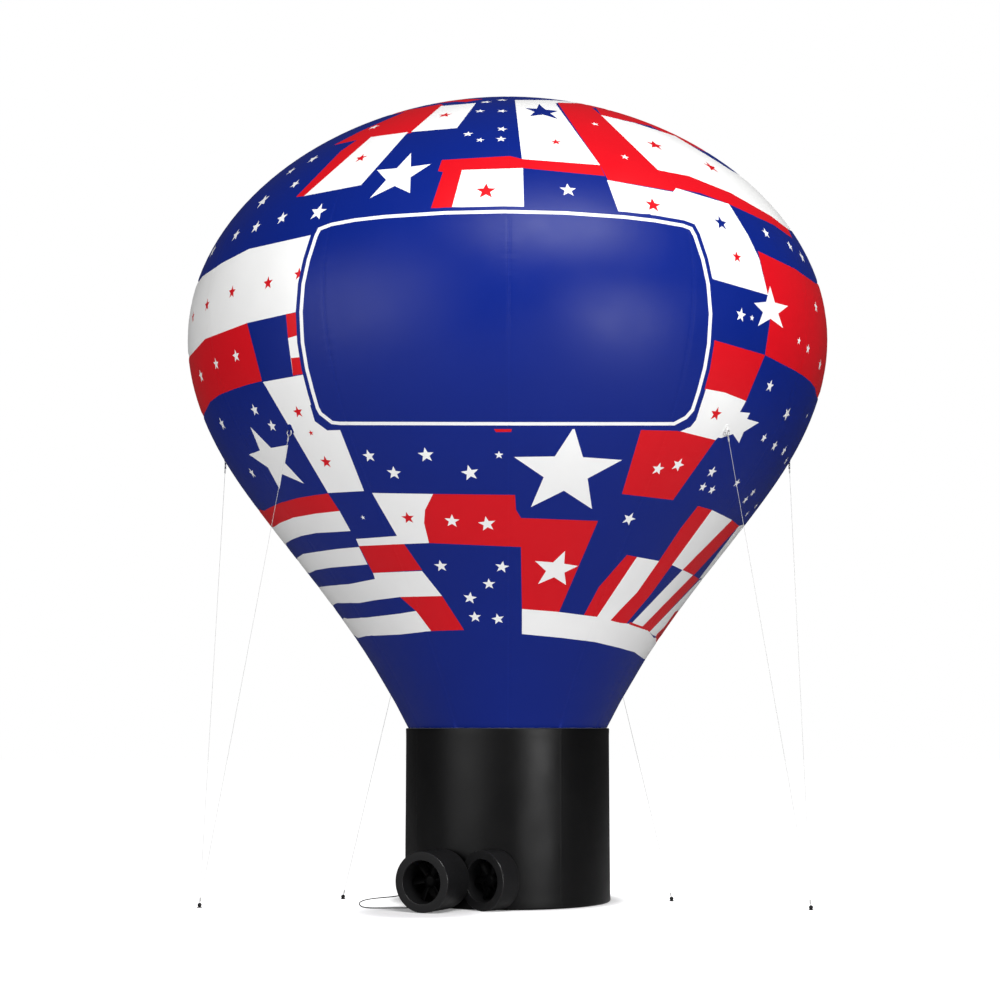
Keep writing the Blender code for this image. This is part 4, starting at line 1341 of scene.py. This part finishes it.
def build_patch(name, surface, frame, cloth):
    columns = 12
    rows = 16
    corner = 0.014
    points = []
    for side in (1, 0):
        for i in range(rows + 1):
            for k in range(columns + 1):
                u = (k / columns - 0.5) * PATCH_WIDTH
                v = (i / rows - 0.5) * PATCH_HEIGHT
                inset_u = max(0.0, abs(u) - (PATCH_WIDTH / 2 - corner))
                inset_v = max(0.0, abs(v) - (PATCH_HEIGHT / 2 - corner))
                reach = math.hypot(inset_u, inset_v)
                if reach > corner:
                    u -= math.copysign(inset_u * (1 - corner / reach), u)
                    v -= math.copysign(inset_v * (1 - corner / reach), v)
                spot = frame @ Vector((u, 0.0, v))
                azimuth = math.atan2(spot.x, -spot.y)
                edge = max(abs(u) / (PATCH_WIDTH / 2), abs(v) / (PATCH_HEIGHT / 2))
                lift = side * PATCH_THICKNESS * (1.0 - 0.5 * max(0.0, (edge - 0.92) / 0.08))
                run = surface.run_at_height(spot.z)
                points.append(surface.point(azimuth, run, lift - 0.0015 * (1 - side)))
    faces = []
    layer = (rows + 1) * (columns + 1)
    for i in range(rows):
        for k in range(columns):
            a = i * (columns + 1) + k
            b, c, d = a + 1, a + columns + 2, a + columns + 1
            faces += [(a, b, c, d), (layer + d, layer + c, layer + b, layer + a)]
    rim = [k for k in range(columns + 1)]
    rim += [(i + 1) * (columns + 1) - 1 for i in range(1, rows + 1)]
    rim += [rows * (columns + 1) + k for k in range(columns - 1, -1, -1)]
    rim += [i * (columns + 1) for i in range(rows - 1, 0, -1)]
    faces += [(a, layer + a, layer + b, b) for a, b in zip(rim, rim[1:] + rim[:1])]
    patch = mesh_object(name, points, faces, cloth, 50.0)
    tidy_mesh(patch.data)
    maps = [patch.data.uv_layers.new(name="cloth"), patch.data.uv_layers.new(name="seam")]
    inverse = frame.inverted()
    for loop in patch.data.loops:
        spot = inverse @ patch.data.vertices[loop.vertex_index].co
        inside = min(PATCH_WIDTH / 2 - abs(spot.x), PATCH_HEIGHT / 2 - abs(spot.z))
        maps[0].data[loop.index].uv = (spot.x, spot.z)
        maps[1].data[loop.index].uv = (max(0.0, inside), spot.x + spot.z)
    return patch


def build_tether(name, azimuth, shift, on_seam, anchor, colour, surface, heads, materials):
    frame = tether_frame(azimuth, shift, on_seam)
    patch = build_patch(f"patch_{name}", surface, frame, materials[colour])
    hold = frame @ Vector((0.0, TAB_OUT, 0.0))
    along = (heads[anchor] - hold).normalized()
    sideways = frame.to_3x3().col[0]
    across = along.cross(sideways).normalized()
    flat = across.cross(along).normalized()
    ring_frame = Matrix((along, flat, across)).transposed().to_4x4()
    ring_frame.translation = hold + along * RING_RADIUS
    ring = tube(f"ring_{name}", ring_points(RING_RADIUS, 48, ring_frame), RING_WIRE, materials["ring"], 16)
    tidy_mesh(ring.data)
    loop = build_webbing_loop(name, frame, hold, materials[colour])
    whole = join(f"tether_patch_{name}", [patch, loop, ring])
    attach(whole, "inflatable")
    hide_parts(f"tether_ring_{name}")
    build_line(name, hold, along, flat, heads[anchor], materials)


# Band of webbing sewn to the patch, which goes round the ring's wire
def build_webbing_loop(name, frame, hold, cloth):
    sideways, outward, up = [frame.to_3x3().col[k] for k in range(3)]
    inner = RING_WIRE + 0.0006
    base = frame @ Vector((0.0, PATCH_THICKNESS + 0.0015, WEBBING_TOP))
    path = [base, base.lerp(hold, 0.45) + outward * 0.001]
    for k in range(13):
        angle = math.radians(100.0 - 20.0 * k)
        path.append(hold + (outward * math.cos(angle) + up * math.sin(angle)) * inner)
    path.append(frame @ Vector((0.0, PATCH_THICKNESS + 0.0012, WEBBING_BOTTOM)))
    points = []
    for i, here in enumerate(path):
        before = path[max(i - 1, 0)]
        after = path[min(i + 1, len(path) - 1)]
        normal = (after - before).normalized().cross(sideways).normalized()
        for across, lift in ((-1, 0), (1, 0), (1, 1), (-1, 1)):
            points.append(here + sideways * (across * WEBBING_WIDTH / 2) + normal * (lift * WEBBING_THICKNESS))
    faces = [(0, 1, 2, 3), tuple(reversed(range(len(points) - 4, len(points))))]
    for i in range(len(path) - 1):
        for k in range(4):
            j = (k + 1) % 4
            faces.append((4 * i + j, 4 * i + k, 4 * i + 4 + k, 4 * i + 4 + j))
    band = mesh_object(f"webbing_{name}", points, faces, cloth, 30.0)
    tidy_mesh(band.data)
    band.data.uv_layers.new(name="cloth")
    band.data.uv_layers.new(name="seam")
    inverse = frame.inverted()
    for index, loop in enumerate(band.data.loops):
        spot = inverse @ band.data.vertices[loop.vertex_index].co
        band.data.uv_layers["cloth"].data[index].uv = (spot.x, spot.z)
        band.data.uv_layers["seam"].data[index].uv = (WEBBING_WIDTH / 2 - abs(spot.x), spot.z)
    return band


# Straight rope from the ring to the anchor, its ends wound round themselves
def build_line(name, hold, along, flat, head, materials):
    top = hold + along * (2 * RING_RADIUS)
    foot = head - along * (ANCHOR_BALL * 0.8)
    span = (foot - top).length
    count = round(span / (ROPE_PITCH / 4))
    points = [top.lerp(foot, k / count) for k in range(count + 1)]
    parts = [tube(f"line_{name}", points, LINE_RADIUS, materials["rope"], 9, 3, ROPE_PITCH)]
    third = along.cross(flat)
    for place, direction in ((top + along * 0.012, 1.0), (foot - along * 0.012, -1.0)):
        turns = 5
        wound = []
        for k in range(turns * 14 + 1):
            angle = 2 * math.pi * k / 14
            reach = along * (direction * 0.0058 * k / 14)
            wound.append(place + reach + (flat * math.cos(angle) + third * math.sin(angle)) * 0.0050)
        parts.append(tube(f"winding_{name}", wound, LINE_RADIUS * 0.9, materials["rope"], 8))
    eye = Matrix((along, third, flat)).transposed().to_4x4()
    eye.translation = top
    parts.append(tube(f"eye_{name}", ring_points(0.0075, 24, eye), LINE_RADIUS * 0.9, materials["rope"], 8))
    line = join(f"guy_rope_{name}", parts)
    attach(line, "inflatable")
    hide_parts(f"guy_line_{name}")


def build_anchor(name, x, y, materials):
    profile = [(0.0, 0.0355)]
    for step in range(1, 13):
        angle = math.radians(90.0 - step * 10.6)
        profile.append((ANCHOR_BALL * math.cos(angle), ANCHOR_BALL_HEIGHT + ANCHOR_BALL * math.sin(angle)))
    flange = [(0.0095, 0.0062, 0.001), (ANCHOR_FLANGE, 0.0058, 0.0016), (ANCHOR_FLANGE, 0.0, 0.001), (0.0, 0.0, 0.0)]
    profile += rounded([(0.0098, 0.0080, 0.0)] + flange, closed=False)[1:]
    anchor = turned(f"anchor_{name}", profile, 48, materials["anchor"], Matrix.Translation((x, y, 0.0)), closed=False)
    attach(anchor, "inflatable")
    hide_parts(f"ground_anchor_{name}")


def build_tethers(surface, materials):
    heads = {name: Vector((x, y, ANCHOR_BALL_HEIGHT)) for name, x, y in ANCHORS}
    for name, x, y in ANCHORS:
        build_anchor(name, x, y, materials)
    for tether in TETHERS:
        build_tether(*tether, surface, heads, materials)


# Stage: a pale floor that runs into a white background, and soft lights
def build_stage():
    material, tree, shader = new_material("pale_floor")
    seen = node(tree, "ShaderNodeLightPath").outputs["Is Camera Ray"]
    mix = node(tree, "ShaderNodeMix", {"Factor": seen}, data_type="RGBA")
    mix.inputs["A"].default_value = (0.60, 0.60, 0.60, 1.0)
    mix.inputs["B"].default_value = (0.86, 0.86, 0.86, 1.0)
    tree.links.new(mix.outputs["Result"], shader.inputs["Base Color"])
    shader.inputs["Roughness"].default_value = 1.0
    shader.inputs["Specular IOR Level"].default_value = 0.0
    shader.inputs["Emission Color"].default_value = (1.0, 1.0, 1.0, 1.0)
    place = node(tree, "ShaderNodeTexCoord").outputs["Object"]
    # Glow seen by the camera, dimmed near the base and near the left blower: a painted shade round them
    glow = []
    for middle, near, far in PAINTED_FLOOR_SHADE:
        off = node(tree, "ShaderNodeVectorMath", {0: place, 1: middle}, operation="DISTANCE").outputs["Value"]
        glow.append(map_range(tree, off, near, far, 0.17, 1.0, smooth=True))
    glow_with_painted_shade = math_node(tree, "MINIMUM", glow[0], glow[1])
    tree.links.new(math_node(tree, "MULTIPLY", seen, glow_with_painted_shade), shader.inputs["Emission Strength"])
    size = 60.0
    points = [(-size, -size, 0.0), (size, -size, 0.0), (size, size, 0.0), (-size, size, 0.0)]
    floor = mesh_object("floor", points, [(0, 1, 2, 3)], material)
    floor.location.z = -0.0005


def area_light(name, place, target, size, power):
    data = bpy.data.lights.new(name, "AREA")
    data.shape = "RECTANGLE"
    data.size, data.size_y = size
    data.energy = power
    lamp = link(bpy.data.objects.new(name, data))
    lamp.location = place
    lamp.rotation_euler = (Vector(target) - Vector(place)).to_track_quat("-Z", "Y").to_euler()
    return lamp


def build_lights():
    area_light("key", (3.0, -10.0, 12.0), (0.0, 0.0, 4.0), (8.0, 5.0), 1520.0)
    area_light("low", (7.4, -11.0, 2.4), (0.0, 0.0, 2.2), (3.6, 4.2), 640.0)
    area_light("fill", (-9.5, -9.5, 4.5), (0.0, 0.0, 2.8), (10.0, 8.0), 800.0)
    world = bpy.data.worlds.new("white_background")
    bpy.context.scene.world = world
    world.use_nodes = True
    tree = world.node_tree
    seen = node(tree, "ShaderNodeLightPath").outputs["Is Camera Ray"]
    strength = map_range(tree, seen, 0.0, 1.0, 0.06, 1.0)
    shade = tree.nodes["Background"]
    shade.inputs["Color"].default_value = (1.0, 1.0, 1.0, 1.0)
    tree.links.new(strength, shade.inputs["Strength"])
    bpy.context.scene.view_settings.view_transform = "Standard"


clear_start()
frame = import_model()
build_camera()
materials = make_materials()
build_lead(materials)
envelope = build_envelope(materials)
build_base(materials)
for blower in BLOWERS:
    build_blower(*blower, materials)
build_tethers(envelope, materials)
build_stage()
build_lights()
